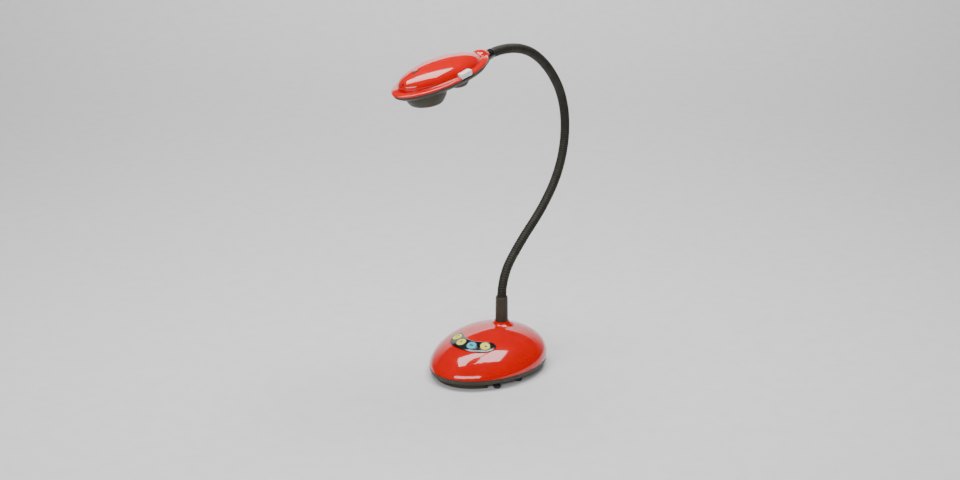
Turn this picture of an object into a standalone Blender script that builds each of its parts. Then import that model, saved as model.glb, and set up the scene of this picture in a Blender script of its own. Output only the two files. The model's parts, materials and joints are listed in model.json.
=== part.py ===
"""Gooseneck document camera: weighted egg-shaped base, jointed flexible neck, camera head.

Sizes are millimetres and become metres where a mesh is made. Front is -Y, up is +Z. The origin
is on the table under the middle of the object. The head parts are modelled level in the head's
own frame (nose towards -Y) and take their pitch from the empty "head_frame".
"""
import math
import bpy
import bmesh
from mathutils import Matrix, Vector

MM = 0.001
GAP = 0.3

# Base: an egg outline, wider at the back, under a dome
BASE_Y = -2.1
BASE_LENGTH_HALF = 94.8
BASE_WIDTH_HALF = 77.3
BASE_EGG = 0.09
RIM_Z = 16.0
DOME_HEIGHT = 44.0
DOME_BACK_SHIFT = 15.0
DOME_ROUNDNESS = 1.14
SHELL_WALL = 2.4
PAN_WALL = 2.2
PAN_FLOOR_Z = 4.5
PLINTH_END_DEG = 50.6
BASE_SCREWS = [(52.0, -30.0), (-52.0, -30.0), (47.0, 47.0), (-47.0, 47.0)]
FEET = [(57.5, -44.0), (-57.5, -44.0), (64.5, -5.0), (-64.5, -5.0), (38.0, 64.0), (-38.0, 64.0)]

# Keypad: four round keys on an arc in a crescent panel
KEY_ARC_CENTRE_Y = -9.4
KEY_ARC_RADIUS = 36.0
KEY_ANGLES = [-47.7, -15.9, 15.9, 47.7]
KEY_RADIUS = 7.2
PANEL_HALF_WIDTH = 10.4
PANEL_END_DEG = 71.0
PANEL_DEPTH = 1.3
BOARD_DEPTH = 12.6

# Neck: nine arcs of one length from the sleeve top, with the bend of each in degrees
NECK_Y = 34.0
SLEEVE_TOP_Z = 100.0
NECK_ARC = 58.8
NECK_BENDS = [44.5, 8.0, -12.0, -23.5, -24.5, -26.5, -19.0, -26.5, -20.0]
NECK_RADIUS = 6.8
CUP_RADIUS = 7.3
NECK_FOOT_Z = 24.0

# Head: an oval shell on the neck's end, which lies NECK_INSERT_Y behind the head's middle
NECK_INSERT_Y = 96.4
HEAD_LENGTH_HALF = 86.3
HEAD_WIDTH_HALF = 39.6
LIP_LENGTH = 12.8
LIP_WIDTH = 6.4
LIP_Z = 1.8
HEAD_DOME_HEIGHT = 19.2
HEAD_NOSE_SHIFT = 13.9
HEAD_WALL = 2.0
HEAD_EDGE_Z = -2.4
COLLAR_Z = -6.6
COLLAR_PROFILE = [(9.4, 58.0), (11.8, 67.0), (13.4, 73.0), (13.6, 78.0), (12.6, 84.0),
                  (10.4, 89.0), (9.6, 91.0)]
COLLAR_BORE = 7.8
COLLAR_START_Y = 50.0
COLLAR_END_Y = 91.0
BOWL_BACK_DEPTH = 0.75
LENS_Y = -33.0
LENS_BOTTOM_Z = -27.4
LAMP_Y = 31.0
LAMP_BOTTOM_Z = -27.2
HEAD_SCREWS = [(20.0, 52.0, -12.2), (-20.0, 52.0, -12.2), (0.0, -70.0, -9.6)]
NOSE_POST_TOP = 7.6
SIDE_KEY_Y = 9.6
SIDE_KEY_Z = 1.7
SIDE_KEY_X = 38.7
SIDE_KEY_SIZE = (9.4, 21.4, 7.8)

RED = ("gloss_red", (0.80, 0.003, 0.002), 0.12, 0.0)
DARK = ("dark_plastic", (0.066, 0.058, 0.043), 0.45, 0.0)
BLACK = ("gloss_black", (0.012, 0.012, 0.013), 0.10, 0.0)
NECK = ("neck_black", (0.028, 0.025, 0.018), 0.50, 0.1)
RUBBER = ("rubber_black", (0.020, 0.020, 0.020), 0.85, 0.0)
STEEL = ("steel", (0.55, 0.55, 0.56), 0.35, 1.0)
GREEN = ("board_green", (0.02, 0.12, 0.05), 0.50, 0.0)
YELLOW = ("key_yellow", (0.83, 0.80, 0.16), 0.30, 0.0)
CYAN = ("key_cyan", (0.08, 0.58, 0.68), 0.30, 0.0)
WHITE = ("key_white", (0.86, 0.86, 0.84), 0.30, 0.0)
GLASS = ("clear_glass", (0.75, 0.80, 0.82), 0.03, 0.0)
GREY = ("grey_plastic", (0.30, 0.29, 0.27), 0.40, 0.0)


# ---------------------------------------------------------------- scene and helpers

def clear_scene():
    for obj in list(bpy.data.objects):
        bpy.data.objects.remove(obj, do_unlink=True)


def new_collection(name):
    collection = bpy.data.collections.new(name)
    bpy.context.scene.collection.children.link(collection)
    return collection


clear_scene()
PARTS = new_collection("document_camera")
CUTTERS = new_collection("cutters")


def empty(name, location, pitch_deg=0.0, parent=None):
    obj = bpy.data.objects.new(name, None)
    obj.location = Vector(location) * MM
    obj.rotation_euler = (math.radians(pitch_deg), 0.0, 0.0)
    obj.parent = parent
    PARTS.objects.link(obj)
    return obj


def add_part(name, mesh, finish, parent, location=(0.0, 0.0, 0.0)):
    label, colour, roughness, metallic = finish
    material = bpy.data.materials.new(f"{name}_{label}")
    material.use_nodes = True
    shader = material.node_tree.nodes["Principled BSDF"]
    shader.inputs["Base Color"].default_value = (*colour, 1.0)
    shader.inputs["Roughness"].default_value = roughness
    shader.inputs["Metallic"].default_value = metallic
    mesh.materials.clear()
    mesh.materials.append(material)
    obj = bpy.data.objects.new(name, mesh)
    obj.location = Vector(location) * MM
    obj.parent = parent
    PARTS.objects.link(obj)
    return obj


def add_cutter(name, mesh, parent, location=(0.0, 0.0, 0.0)):
    obj = bpy.data.objects.new(name, mesh)
    obj.location = Vector(location) * MM
    obj.parent = parent
    obj.hide_render = True
    obj.display_type = "WIRE"
    CUTTERS.objects.link(obj)
    return obj


def boolean(obj, cutter, operation):
    modifier = obj.modifiers.new(f"{operation.lower()}_{cutter.name}", "BOOLEAN")
    modifier.object = cutter
    modifier.operation = operation
    modifier.solver = "EXACT"


def as_mesh(name, bm, smooth_deg=35.0):
    mesh = bpy.data.meshes.new(name)
    bm.to_mesh(mesh)
    bm.free()
    mesh.shade_smooth()
    mesh.set_sharp_from_angle(angle=math.radians(smooth_deg))
    return mesh


def skin(name, around, along, place, capped=False):
    """A grid bent round into a tube. place(turn, run) gives a point in mm: turn goes
    anticlockwise from 0 to 1 seen against the direction of run, which goes from 0 to 1."""
    bm = bmesh.new()
    bmesh.ops.create_grid(bm, x_segments=around, y_segments=along, size=0.5)
    for vert in bm.verts:
        vert.co = place(vert.co.x + 0.5, vert.co.y + 0.5) * MM
    bmesh.ops.remove_doubles(bm, verts=bm.verts, dist=0.000002)
    if capped:
        bmesh.ops.holes_fill(bm, edges=[edge for edge in bm.edges if edge.is_boundary])
    return as_mesh(name, bm)


def add_wall(obj, thickness):
    solidify = obj.modifiers.new("wall", "SOLIDIFY")
    solidify.thickness = thickness * MM
    solidify.offset = -1.0
    solidify.use_even_offset = True


def turned_mesh(name, profile, closed=False):
    """Profile points (radius, height) in mm, down the outer side and back up inside."""
    mesh = bpy.data.meshes.new(name)
    edges = [(i, i + 1) for i in range(len(profile) - 1)]
    if closed:
        edges.append((len(profile) - 1, 0))
    mesh.from_pydata([(r * MM, 0.0, z * MM) for r, z in profile], edges, [])
    return mesh


def add_screw_turn(obj, steps):
    screw = obj.modifiers.new("turn", "SCREW")
    screw.axis = "Z"
    screw.angle = math.tau
    screw.steps = steps
    screw.render_steps = steps
    screw.use_merge_vertices = True
    screw.merge_threshold = 0.00001
    screw.use_smooth_shade = True


def turned(name, profile, finish, parent, location, steps=24, closed=False):
    obj = add_part(name, turned_mesh(name, profile, closed), finish, parent, location)
    add_screw_turn(obj, steps)
    return obj


def rod_mesh(name, rods, segments=16):
    """Cylinders (x, y, low z, high z, radius) that stay separate in one mesh."""
    bm = bmesh.new()
    for x, y, low, high, radius in rods:
        place = Matrix.Translation(Vector((x, y, (low + high) / 2)) * MM)
        bmesh.ops.create_cone(bm, cap_ends=True, segments=segments, radius1=radius * MM,
                              radius2=radius * MM, depth=(high - low) * MM, matrix=place)
    return as_mesh(name, bm)


def block_mesh(name, blocks, bevel=0.0):
    """Boxes (centre, size) with optional rounded edges."""
    bm = bmesh.new()
    for centre, size in blocks:
        scale = Matrix.Diagonal((*(Vector(size) * MM), 1.0))
        place = Matrix.Translation(Vector(centre) * MM) @ scale
        bmesh.ops.create_cube(bm, size=1.0, matrix=place)
    if bevel:
        bmesh.ops.bevel(bm, geom=bm.edges[:], offset=bevel * MM, segments=2, profile=0.5,
                        affect="EDGES")
    return as_mesh(name, bm)


def outline_mesh(name, points, low, high):
    """A flat outline in mm, filled and thickened from low to high."""
    curve = bpy.data.curves.new(name, "CURVE")
    curve.dimensions = "2D"
    curve.fill_mode = "BOTH"
    curve.extrude = (high - low) / 2 * MM
    spline = curve.splines.new("POLY")
    spline.points.add(len(points) - 1)
    for point, (x, y) in zip(spline.points, points):
        point.co = (x * MM, y * MM, 0.0, 1.0)
    spline.use_cyclic_u = True
    holder = bpy.data.objects.new(name, curve)
    bpy.context.scene.collection.objects.link(holder)
    depsgraph = bpy.context.evaluated_depsgraph_get()
    mesh = bpy.data.meshes.new_from_object(holder.evaluated_get(depsgraph))
    bpy.data.objects.remove(holder, do_unlink=True)
    bm = bmesh.new()
    bm.from_mesh(mesh)
    bmesh.ops.remove_doubles(bm, verts=bm.verts, dist=0.000002)
    bmesh.ops.recalc_face_normals(bm, faces=bm.faces)
    bmesh.ops.translate(bm, verts=bm.verts, vec=(0.0, 0.0, (high + low) / 2 * MM))
    return as_mesh(name, bm)


# ---------------------------------------------------------------- base

def egg_point(angle, inset, z, shift=0.0, scale=1.0):
    """A point of the egg outline at an angle from the front, in base coordinates."""
    x = (BASE_WIDTH_HALF - inset) * scale * math.sin(angle) * (1.0 - BASE_EGG * math.cos(angle))
    y = shift - (BASE_LENGTH_HALF - inset) * scale * math.cos(angle)
    return Vector((x, y, z))


def dome_point(angle, rise, grow=0.0):
    """A point of the dome; rise goes from 0 at the rim to 1 at the top."""
    turn = rise * math.pi / 2
    scale = max(math.cos(turn), 0.0) ** DOME_ROUNDNESS
    lift = math.sin(turn)
    z = RIM_Z + (DOME_HEIGHT + grow) * lift
    return egg_point(angle, -grow, z, DOME_BACK_SHIFT * lift, scale)


def dome_height(x, y):
    """Height of the dome's outside over a point of the base, by halving the rise."""
    low, high = 0.0, 1.0
    for _ in range(40):
        rise = (low + high) / 2
        lift = math.sin(rise * math.pi / 2)
        scale = math.cos(rise * math.pi / 2) ** DOME_ROUNDNESS
        cosine = (DOME_BACK_SHIFT * lift - y) / (BASE_LENGTH_HALF * scale)
        inside = abs(cosine) < 1.0 and abs(x) < BASE_WIDTH_HALF * scale * (
            1.0 - BASE_EGG * cosine) * math.sqrt(1.0 - cosine * cosine)
        low, high = (rise, high) if inside else (low, rise)
    return RIM_Z + DOME_HEIGHT * math.sin(low * math.pi / 2)


def dome_frame(x, y):
    """Place on the dome with +Z along the outward normal."""
    step = 0.5
    slope_x = (dome_height(x + step, y) - dome_height(x - step, y)) / (2 * step)
    slope_y = (dome_height(x, y + step) - dome_height(x, y - step)) / (2 * step)
    normal = Vector((-slope_x, -slope_y, 1.0)).normalized()
    across = Vector((1.0, 0.0, slope_x)).normalized()
    along = normal.cross(across)
    turn = Matrix((across, along, normal)).transposed().to_4x4()
    return Matrix.Translation(Vector((x, y, dome_height(x, y))) * MM) @ turn


def dome_mesh(name, grow=0.0, skirt_z=RIM_Z):
    """The dome as a solid, with straight sides from its rim down to skirt_z."""
    rings = 10

    def place(turn, run):
        angle = turn * math.tau
        if run == 0.0:
            return egg_point(angle, -grow, skirt_z)
        return dome_point(angle, (run * rings - 1.0) / (rings - 1.0), grow)

    return skin(name, 36, rings, place, capped=True)


def crescent(extra):
    """Outline of the keypad panel, grown by extra: an arc of keys with rounded ends."""
    end = PANEL_END_DEG + math.degrees(extra / KEY_ARC_RADIUS)
    half_width = PANEL_HALF_WIDTH + extra
    steps = 13
    points = []
    for side in (1.0, -1.0):
        for i in range(steps):
            share = -math.cos(math.pi * i / steps) * side
            width = half_width * math.sqrt(max(1.0 - abs(share) ** 5, 0.0)) * side
            angle = math.radians(end * share)
            radius = KEY_ARC_RADIUS + width
            points.append((radius * math.sin(angle), KEY_ARC_CENTRE_Y - radius * math.cos(angle)))
    return points


def key_place(index):
    angle = math.radians(KEY_ANGLES[index])
    return dome_frame(KEY_ARC_RADIUS * math.sin(angle),
                      KEY_ARC_CENTRE_Y - KEY_ARC_RADIUS * math.cos(angle))


def key_frames(base):
    frames = []
    for index in range(len(KEY_ANGLES)):
        frame = empty(f"key_frame_{index + 1}", (0.0, 0.0, 0.0), parent=base)
        frame.matrix_local = key_place(index)
        frames.append(frame)
    return frames


def key_rods(name, radius, low, high, parent):
    """One round cutter for each key, standing along the key's own axis."""
    bm = bmesh.new()
    for index in range(len(KEY_ANGLES)):
        place = key_place(index) @ Matrix.Translation((0.0, 0.0, (low + high) / 2 * MM))
        bmesh.ops.create_cone(bm, cap_ends=True, segments=24, radius1=radius * MM,
                              radius2=radius * MM, depth=(high - low) * MM, matrix=place)
    return add_cutter(name, as_mesh(name, bm), parent)


def base_shell(base):
    shell = add_part("base_shell", dome_mesh("base_shell"), RED, base)
    hollow = add_cutter("base_hollow", dome_mesh("base_hollow", -SHELL_WALL, 2.0), base)
    boolean(shell, hollow, "DIFFERENCE")
    rods = rod_mesh("base_posts", [(x, y, 9.0, 80.0, 4.0) for x, y in BASE_SCREWS])
    posts = add_cutter("base_posts", rods, base)
    inner = add_cutter("base_inner", dome_mesh("base_inner", -SHELL_WALL / 2, 2.0), base)
    boolean(posts, inner, "INTERSECT")
    boolean(shell, posts, "UNION")
    outline = outline_mesh("panel_recess", crescent(0.35), 36.0, 80.0)
    recess = add_cutter("panel_recess", outline, base)
    recess_floor = add_cutter("recess_floor", dome_mesh("recess_floor", -PANEL_DEPTH, 2.0), base)
    boolean(recess, recess_floor, "DIFFERENCE")
    boolean(shell, recess, "DIFFERENCE")
    boolean(shell, key_rods("shell_key_holes", 7.7, -8.0, 6.0, base), "DIFFERENCE")
    holes = [(x, y, 4.0, 24.0, 1.9) for x, y in BASE_SCREWS] + [(0.0, NECK_Y, 30.0, 80.0, 9.6)]
    rods = rod_mesh("shell_holes", holes, 24)
    boolean(shell, add_cutter("shell_holes", rods, base), "DIFFERENCE")
    slot = block_mesh("usb_slot", [((0.0, 92.0, 25.0), (9.8, 14.0, 4.2))])
    boolean(shell, add_cutter("usb_slot", slot, base), "DIFFERENCE")


def base_pan(base):
    profile = [(0.0, RIM_Z - GAP), (0.2, 13.0), (0.8, 10.6), (2.6, 8.0), (6.0, 5.9),
               (10.5, PAN_FLOOR_Z)]
    rings = len(profile)

    def place(turn, run):
        level = round((1.0 - run) * rings)
        if level == rings:
            return Vector((0.0, 0.0, PAN_FLOOR_Z))
        inset, z = profile[level]
        return egg_point(turn * math.tau, inset, z)

    pan = add_part("base_pan", skin("base_pan", 36, rings, place), DARK, base)
    add_wall(pan, PAN_WALL)
    holes = rod_mesh("pan_holes", [(x, y, 2.0, 9.0, 1.9) for x, y in BASE_SCREWS])
    boolean(pan, add_cutter("pan_holes", holes, base), "DIFFERENCE")


def plinth(base):
    """The deep front foot: a crescent that follows the front of the pan."""
    steps = 20
    angles = [math.radians(PLINTH_END_DEG * (2 * i / steps - 1)) for i in range(steps + 1)]
    outer = [egg_point(a, 8.5, 0.0) for a in angles]
    inner = [egg_point(a, 21.0 - 6.0 * (abs(math.degrees(a)) / PLINTH_END_DEG) ** 4, 0.0)
             for a in reversed(angles)]
    points = [(p.x, p.y) for p in outer + inner]
    add_part("front_foot", outline_mesh("front_foot", points, 0.0, PAN_FLOOR_Z - GAP), DARK, base)


def feet(base):
    top = PAN_FLOOR_Z - GAP
    profile = [(0.0, top), (5.0, top), (5.6, top - 0.8), (4.8, 0.5), (4.3, 0.0), (0.0, 0.0)]
    for index, (x, y) in enumerate(FEET):
        turned(f"foot_{index + 1}", profile, RUBBER, base, (x, y, 0.0), 16)


def ballast(base):
    steps = 32
    points = [egg_point(math.tau * i / steps, 30.0, 0.0) for i in range(steps)]
    low = PAN_FLOOR_Z + PAN_WALL + GAP
    mesh = outline_mesh("ballast_plate", [(p.x, p.y) for p in points], low, low + 5.5)
    add_part("ballast_plate", mesh, STEEL, base)


def base_screws(base):
    top = PAN_FLOOR_Z - GAP
    profile = [(0.0, 20.0), (1.5, 20.0), (1.5, top), (2.9, top), (2.9, top - 1.2), (2.2, top - 2.0),
               (0.0, top - 2.0)]
    for index, (x, y) in enumerate(BASE_SCREWS):
        turned(f"base_screw_{index + 1}", profile, STEEL, base, (x, y, 0.0), 12)


def neck_mount(base):
    """Socket on the ballast, the nut on it, the red flare in the dome and the black sleeve."""
    foot = 13.0
    bore = NECK_RADIUS + 0.4
    socket = [(11.0, 46.0), (11.0, foot + 5.0), (20.0, foot + 4.0), (20.0, foot), (bore, foot),
              (bore, 46.0)]
    part = turned("neck_socket", socket, STEEL, base, (0.0, NECK_Y, 0.0), 24, closed=True)
    slot = block_mesh("socket_slot", [((0.0, NECK_Y + 14.0, foot + 4.5), (5.0, 20.0, 6.0))])
    boolean(part, add_cutter("socket_slot", slot, base), "DIFFERENCE")
    nut = add_part("neck_nut", rod_mesh("neck_nut", [(0.0, NECK_Y, 46.4, 51.0, 10.6)], 6), STEEL, base)
    nut_bore = rod_mesh("nut_bore", [(0.0, NECK_Y, 44.0, 54.0, bore)], 24)
    boolean(nut, add_cutter("nut_bore", nut_bore, base), "DIFFERENCE")
    flare = [(9.9, 63.2), (10.3, 62.8), (11.4, 61.0), (14.0, 59.4), (17.8, 57.4), (17.8, 50.0),
             (9.6, 50.0), (9.6, 63.2)]
    collar = turned("neck_collar", flare, RED, base, (0.0, NECK_Y, 0.0), 32, closed=True)
    dome = add_cutter("collar_seat", dome_mesh("collar_seat", 0.25, 2.0), base)
    boolean(collar, dome, "DIFFERENCE")
    sleeve = [(8.4, SLEEVE_TOP_Z + 0.6), (8.6, SLEEVE_TOP_Z), (9.2, 70.0), (9.2, 52.0),
              (bore, 52.0), (bore, SLEEVE_TOP_Z + 0.6)]
    turned("neck_sleeve", sleeve, DARK, base, (0.0, NECK_Y, 0.0), 24, closed=True)


def keypad(base):
    outline = outline_mesh("keypad_bezel", crescent(0.0), 36.0, 80.0)
    panel = add_part("keypad_bezel", outline, BLACK, base)
    under = add_cutter("panel_under", dome_mesh("panel_under", -PANEL_DEPTH + GAP, 2.0), base)
    boolean(panel, under, "DIFFERENCE")
    above = add_cutter("panel_above", dome_mesh("panel_above", 0.15, 2.0), base)
    boolean(panel, above, "INTERSECT")
    boolean(panel, key_rods("panel_key_holes", 7.6, -8.0, 6.0, base), "DIFFERENCE")
    inner = outline_mesh("keypad_board", crescent(-1.0), 24.0, 80.0)
    board = add_part("keypad_board", inner, GREEN, base)
    below = add_cutter("board_under", dome_mesh("board_under", -BOARD_DEPTH - 1.4, 2.0), base)
    boolean(board, below, "DIFFERENCE")
    top = add_cutter("board_top", dome_mesh("board_top", -BOARD_DEPTH, 2.0), base)
    boolean(board, top, "INTERSECT")


def keys(frames):
    cap = [(0.0, 1.5), (5.8, 1.35), (6.9, 1.0), (KEY_RADIUS, 0.4), (KEY_RADIUS, -2.9), (8.4, -3.1),
           (8.4, -4.1), (1.6, -4.1), (1.6, -6.2), (0.0, -6.2)]
    for index, frame in enumerate(frames):
        finish = CYAN if index == 2 else YELLOW
        turned(f"key_{index + 1}", cap, finish, frame, (0.0, 0.0, 0.0), 24)
        switch = block_mesh(f"tact_switch_{index + 1}", [((0.0, 0.0, -9.2), (5.6, 5.6, 2.2))])
        body = add_part(f"tact_switch_{index + 1}", switch, GREY, frame)
        stem = rod_mesh("switch_stem", [(0.0, 0.0, -9.0, -7.4, 1.4)], 12)
        boolean(body, add_cutter(f"switch_stem_{index + 1}", stem, frame), "UNION")


def main_board(base):
    board = block_mesh("main_board", [((0.0, 70.0, 21.2), (46.0, 26.0, 1.6))])
    body = add_part("main_board", board, GREEN, base)
    chip = block_mesh("board_chip", [((-10.0, 68.0, 22.6), (12.0, 12.0, 2.0))])
    boolean(body, add_cutter("board_chip", chip, base), "UNION")
    legs = rod_mesh("board_legs", [(x, 78.0, 15.0, 21.0, 2.0) for x in (-18.0, 18.0)], 12)
    boolean(body, add_cutter("board_legs", legs, base), "UNION")
    socket = block_mesh("usb_socket", [((0.0, 85.7, 24.2), (9.0, 8.6, 3.4))])
    inlet = add_part("usb_socket", socket, STEEL, base)
    mouth = block_mesh("usb_mouth", [((0.0, 88.0, 24.2), (8.2, 8.0, 2.6))])
    boolean(inlet, add_cutter("usb_mouth", mouth, base), "DIFFERENCE")


def cable_tail(base):
    """The neck cable's inner end, from the foot of the neck to the main board."""
    start, end = Vector((0.0, NECK_Y, 23.0)), Vector((0.0, 56.4, 18.0))
    control = Vector((0.0, NECK_Y + 2.0, 16.0))
    steps = 9
    curve = bpy.data.curves.new("cable_tail", "CURVE")
    curve.dimensions = "3D"
    curve.bevel_depth = 1.6 * MM
    curve.bevel_resolution = 2
    curve.use_fill_caps = True
    spline = curve.splines.new("POLY")
    spline.points.add(steps)
    for i, point in enumerate(spline.points):
        t = i / steps
        place = start * (1 - t) ** 2 + control * 2 * t * (1 - t) + end * t * t
        point.co = (*(place * MM), 1.0)
    add_part("cable_tail", curve, RUBBER, base)


# ---------------------------------------------------------------- neck

def neck_point(length):
    """Centreline place and heading (radians back from upright) at a length past the sleeve."""
    place = Vector((0.0, NECK_Y, SLEEVE_TOP_Z))
    heading = 0.0
    if length <= 0.0:
        return place + Vector((0.0, 0.0, length)), 0.0
    for bend in NECK_BENDS:
        run = min(length, NECK_ARC)
        turn = math.radians(bend) * run / NECK_ARC
        chord = run * math.sin(turn / 2) / (turn / 2)
        middle = heading + turn / 2
        place = place + Vector((0.0, math.sin(middle), math.cos(middle))) * chord
        heading += turn
        length -= run
        if length <= 1e-9:
            break
    return place, heading


def neck_rings(index):
    """Rings (base length, straight offset, radius) of one link, from its cup to its ball."""
    start, stop = index * NECK_ARC, (index + 1) * NECK_ARC
    rings = []
    if index == 0:
        foot = NECK_FOOT_Z - SLEEVE_TOP_Z
        rings += [(foot, 0.0, 0.0), (foot, 0.0, NECK_RADIUS - 0.6),
                  (foot + 0.6, 0.0, NECK_RADIUS), (0.0, 0.0, NECK_RADIUS)]
    else:
        rim_deg = math.degrees(math.asin((NECK_RADIUS - 0.25) / CUP_RADIUS))
        for deg in (0.0, rim_deg * 0.38, rim_deg * 0.72, rim_deg):
            angle = math.radians(deg)
            rings.append((start, CUP_RADIUS * math.cos(angle), CUP_RADIUS * math.sin(angle)))
        rings.append((start, CUP_RADIUS * math.cos(math.radians(rim_deg)), NECK_RADIUS))
    steps = 6
    rings += [(start + (stop - start) * i / steps, 0.0, NECK_RADIUS) for i in range(1, steps)]
    if index == len(NECK_BENDS) - 1:
        rings += [(stop, 0.0, NECK_RADIUS), (stop, 14.0, NECK_RADIUS), (stop, 14.0, 0.0)]
    else:
        for deg in (0.0, 30.0, 60.0, 90.0):
            angle = math.radians(deg)
            rings.append((stop, NECK_RADIUS * math.sin(angle), NECK_RADIUS * math.cos(angle)))
    return rings


def neck_links(base):
    for index in range(len(NECK_BENDS)):
        rings = neck_rings(index)

        def place(turn, run, rings=rings):
            length, offset, radius = rings[round(run * (len(rings) - 1))]
            centre, heading = neck_point(length)
            tangent = Vector((0.0, math.sin(heading), math.cos(heading)))
            across = Vector((0.0, math.cos(heading), -math.sin(heading)))
            spin = turn * math.tau
            return (centre + tangent * offset + Vector((1.0, 0.0, 0.0)) * radius * math.cos(spin)
                    + across * radius * math.sin(spin))

        name = f"neck_link_{index}"
        pivot = empty(f"neck_joint_{index}", neck_point(index * NECK_ARC)[0], parent=base)
        mesh = skin(name, 16, len(rings) - 1, place)
        mesh.transform(Matrix.Translation(-pivot.location))
        add_part(name, mesh, NECK, pivot)


# ---------------------------------------------------------------- head

def oval_point(angle, inset_length, inset_width, z, shift=0.0, scale=1.0):
    x = (HEAD_WIDTH_HALF - inset_width) * scale * math.sin(angle)
    y = -shift - (HEAD_LENGTH_HALF - inset_length) * scale * math.cos(angle)
    return Vector((x, y, z))


def head_dome_point(angle, rise):
    lift = math.sin(rise * math.pi / 2)
    scale = max(math.cos(rise * math.pi / 2), 0.0)
    return oval_point(angle, LIP_LENGTH, LIP_WIDTH, LIP_Z + HEAD_DOME_HEIGHT * lift,
                      HEAD_NOSE_SHIFT * lift, scale)


def head_dome_z(y):
    """Height of the head's top on its middle line."""
    best = min(((abs(head_dome_point(a, r / 400).y - y), r) for r in range(401)
                for a in (0.0, math.pi)), key=lambda pair: pair[0])
    return LIP_Z + HEAD_DOME_HEIGHT * math.sin(best[1] / 400 * math.pi / 2)


def lay_back(obj):
    """Turns a form made round Z so that its +Z runs back along the collar's axis."""
    obj.location = Vector((0.0, 0.0, COLLAR_Z)) * MM
    obj.rotation_euler = (-math.pi / 2, 0.0, 0.0)
    return obj


def collar_form(name, head, thinner=0.0, shorter=0.0):
    """The collar's outside: a rounded ring that narrows towards the neck."""
    side = [(radius - thinner, y) for radius, y in COLLAR_PROFILE]
    side[-1] = (side[-1][0], COLLAR_END_Y - shorter)
    profile = [(0.0, side[-1][1]), *reversed(side), (0.0, side[0][1])]
    form = add_cutter(name, turned_mesh(name, profile), head)
    add_screw_turn(form, 28)
    return lay_back(form)


def collar_bore(name, head):
    rod = rod_mesh(name, [(0.0, 0.0, COLLAR_START_Y, COLLAR_END_Y + 4.0, COLLAR_BORE)], 24)
    return lay_back(add_cutter(name, rod, head))


def head_form(name, inset=0.0):
    """The head's top as a solid: a lip, wide at the nose and narrow at the sides, and a dome."""
    edge = [(0.0, HEAD_EDGE_Z), (0.0, -0.6), (0.06, 0.3), (0.5, 1.0)]
    dome_rings = 7
    rings = len(edge) + dome_rings

    def place(turn, run):
        level = round(run * rings)
        angle = turn * math.tau
        if level < len(edge):
            share, z = edge[level]
            point = oval_point(angle, LIP_LENGTH * share, LIP_WIDTH * share, z)
        else:
            point = head_dome_point(angle, (level - len(edge)) / dome_rings)
        return Vector((point.x * (1.0 - inset / HEAD_WIDTH_HALF),
                       point.y * (1.0 - inset / HEAD_LENGTH_HALF), point.z - inset))

    return skin(name, 32, rings, place, capped=True)


def head_shell(head):
    shell = add_part("head_shell", head_form("head_shell"), RED, head)
    boolean(shell, add_cutter("head_hollow", head_form("head_hollow", HEAD_WALL), head), "DIFFERENCE")
    boolean(shell, collar_form("head_tube", head), "UNION")
    rods = [(x, y, HEAD_EDGE_Z + 0.5, 24.0 if y > 0.0 else NOSE_POST_TOP, 3.2)
            for x, y, _ in HEAD_SCREWS]
    posts = add_cutter("head_posts", rod_mesh("head_posts", rods, 12), head)
    form = add_cutter("head_middle", head_form("head_middle", HEAD_WALL / 2), head)
    boolean(posts, form, "INTERSECT")
    boolean(shell, posts, "UNION")
    boolean(shell, collar_bore("head_bore", head), "DIFFERENCE")
    split = block_mesh("head_split", [((0.0, 80.0, HEAD_EDGE_Z - 15.0), (60.0, 60.0, 30.0))])
    boolean(shell, add_cutter("head_split", split, head), "DIFFERENCE")
    pilots = rod_mesh("head_pilots", [(x, y, -6.0, 6.0, 1.3) for x, y, _ in HEAD_SCREWS], 12)
    boolean(shell, add_cutter("head_pilots", pilots, head), "DIFFERENCE")
    slots = [((38.0, SIDE_KEY_Y, SIDE_KEY_Z - 0.8), (20.0, 22.4, 10.6)),
             ((0.0, -45.6, 22.0), (3.8, 7.8, 16.0))]
    boolean(shell, add_cutter("head_slots", block_mesh("head_slots", slots), head), "DIFFERENCE")
    dot = rod_mesh("mic_hole", [(0.0, 0.0, 64.0, 80.0, 1.5)], 12)
    dot.transform(Matrix.Translation((0.0, 0.0, 10.6 * MM)) @ Matrix.Rotation(math.pi / 2, 4, "X"))
    boolean(shell, add_cutter("mic_hole", dot, head), "DIFFERENCE")


def bowl_mesh(name, grow, top_z):
    """The under cover's bowl, closed at the top, grown inwards by a negative amount."""
    profile = [(0.8, 0.0), (1.6, 1.9), (5.0, 4.9), (11.0, 7.1), (19.0, 8.5), (28.0, 9.3)]
    rings = len(profile)

    def place(turn, run):
        level = round((1.0 - run) * rings)
        inset, depth = profile[min(level, rings - 1)]
        back = 0.5 if level == rings else (1.0 - math.cos(turn * math.tau)) / 2
        z = HEAD_EDGE_Z - GAP - depth * (1.0 + BOWL_BACK_DEPTH * back) - grow
        if level == rings:
            return Vector((0.0, 0.0, z))
        return oval_point(turn * math.tau, inset - grow, inset - grow, z if level else top_z)

    return skin(name, 32, rings, place, capped=True)


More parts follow.
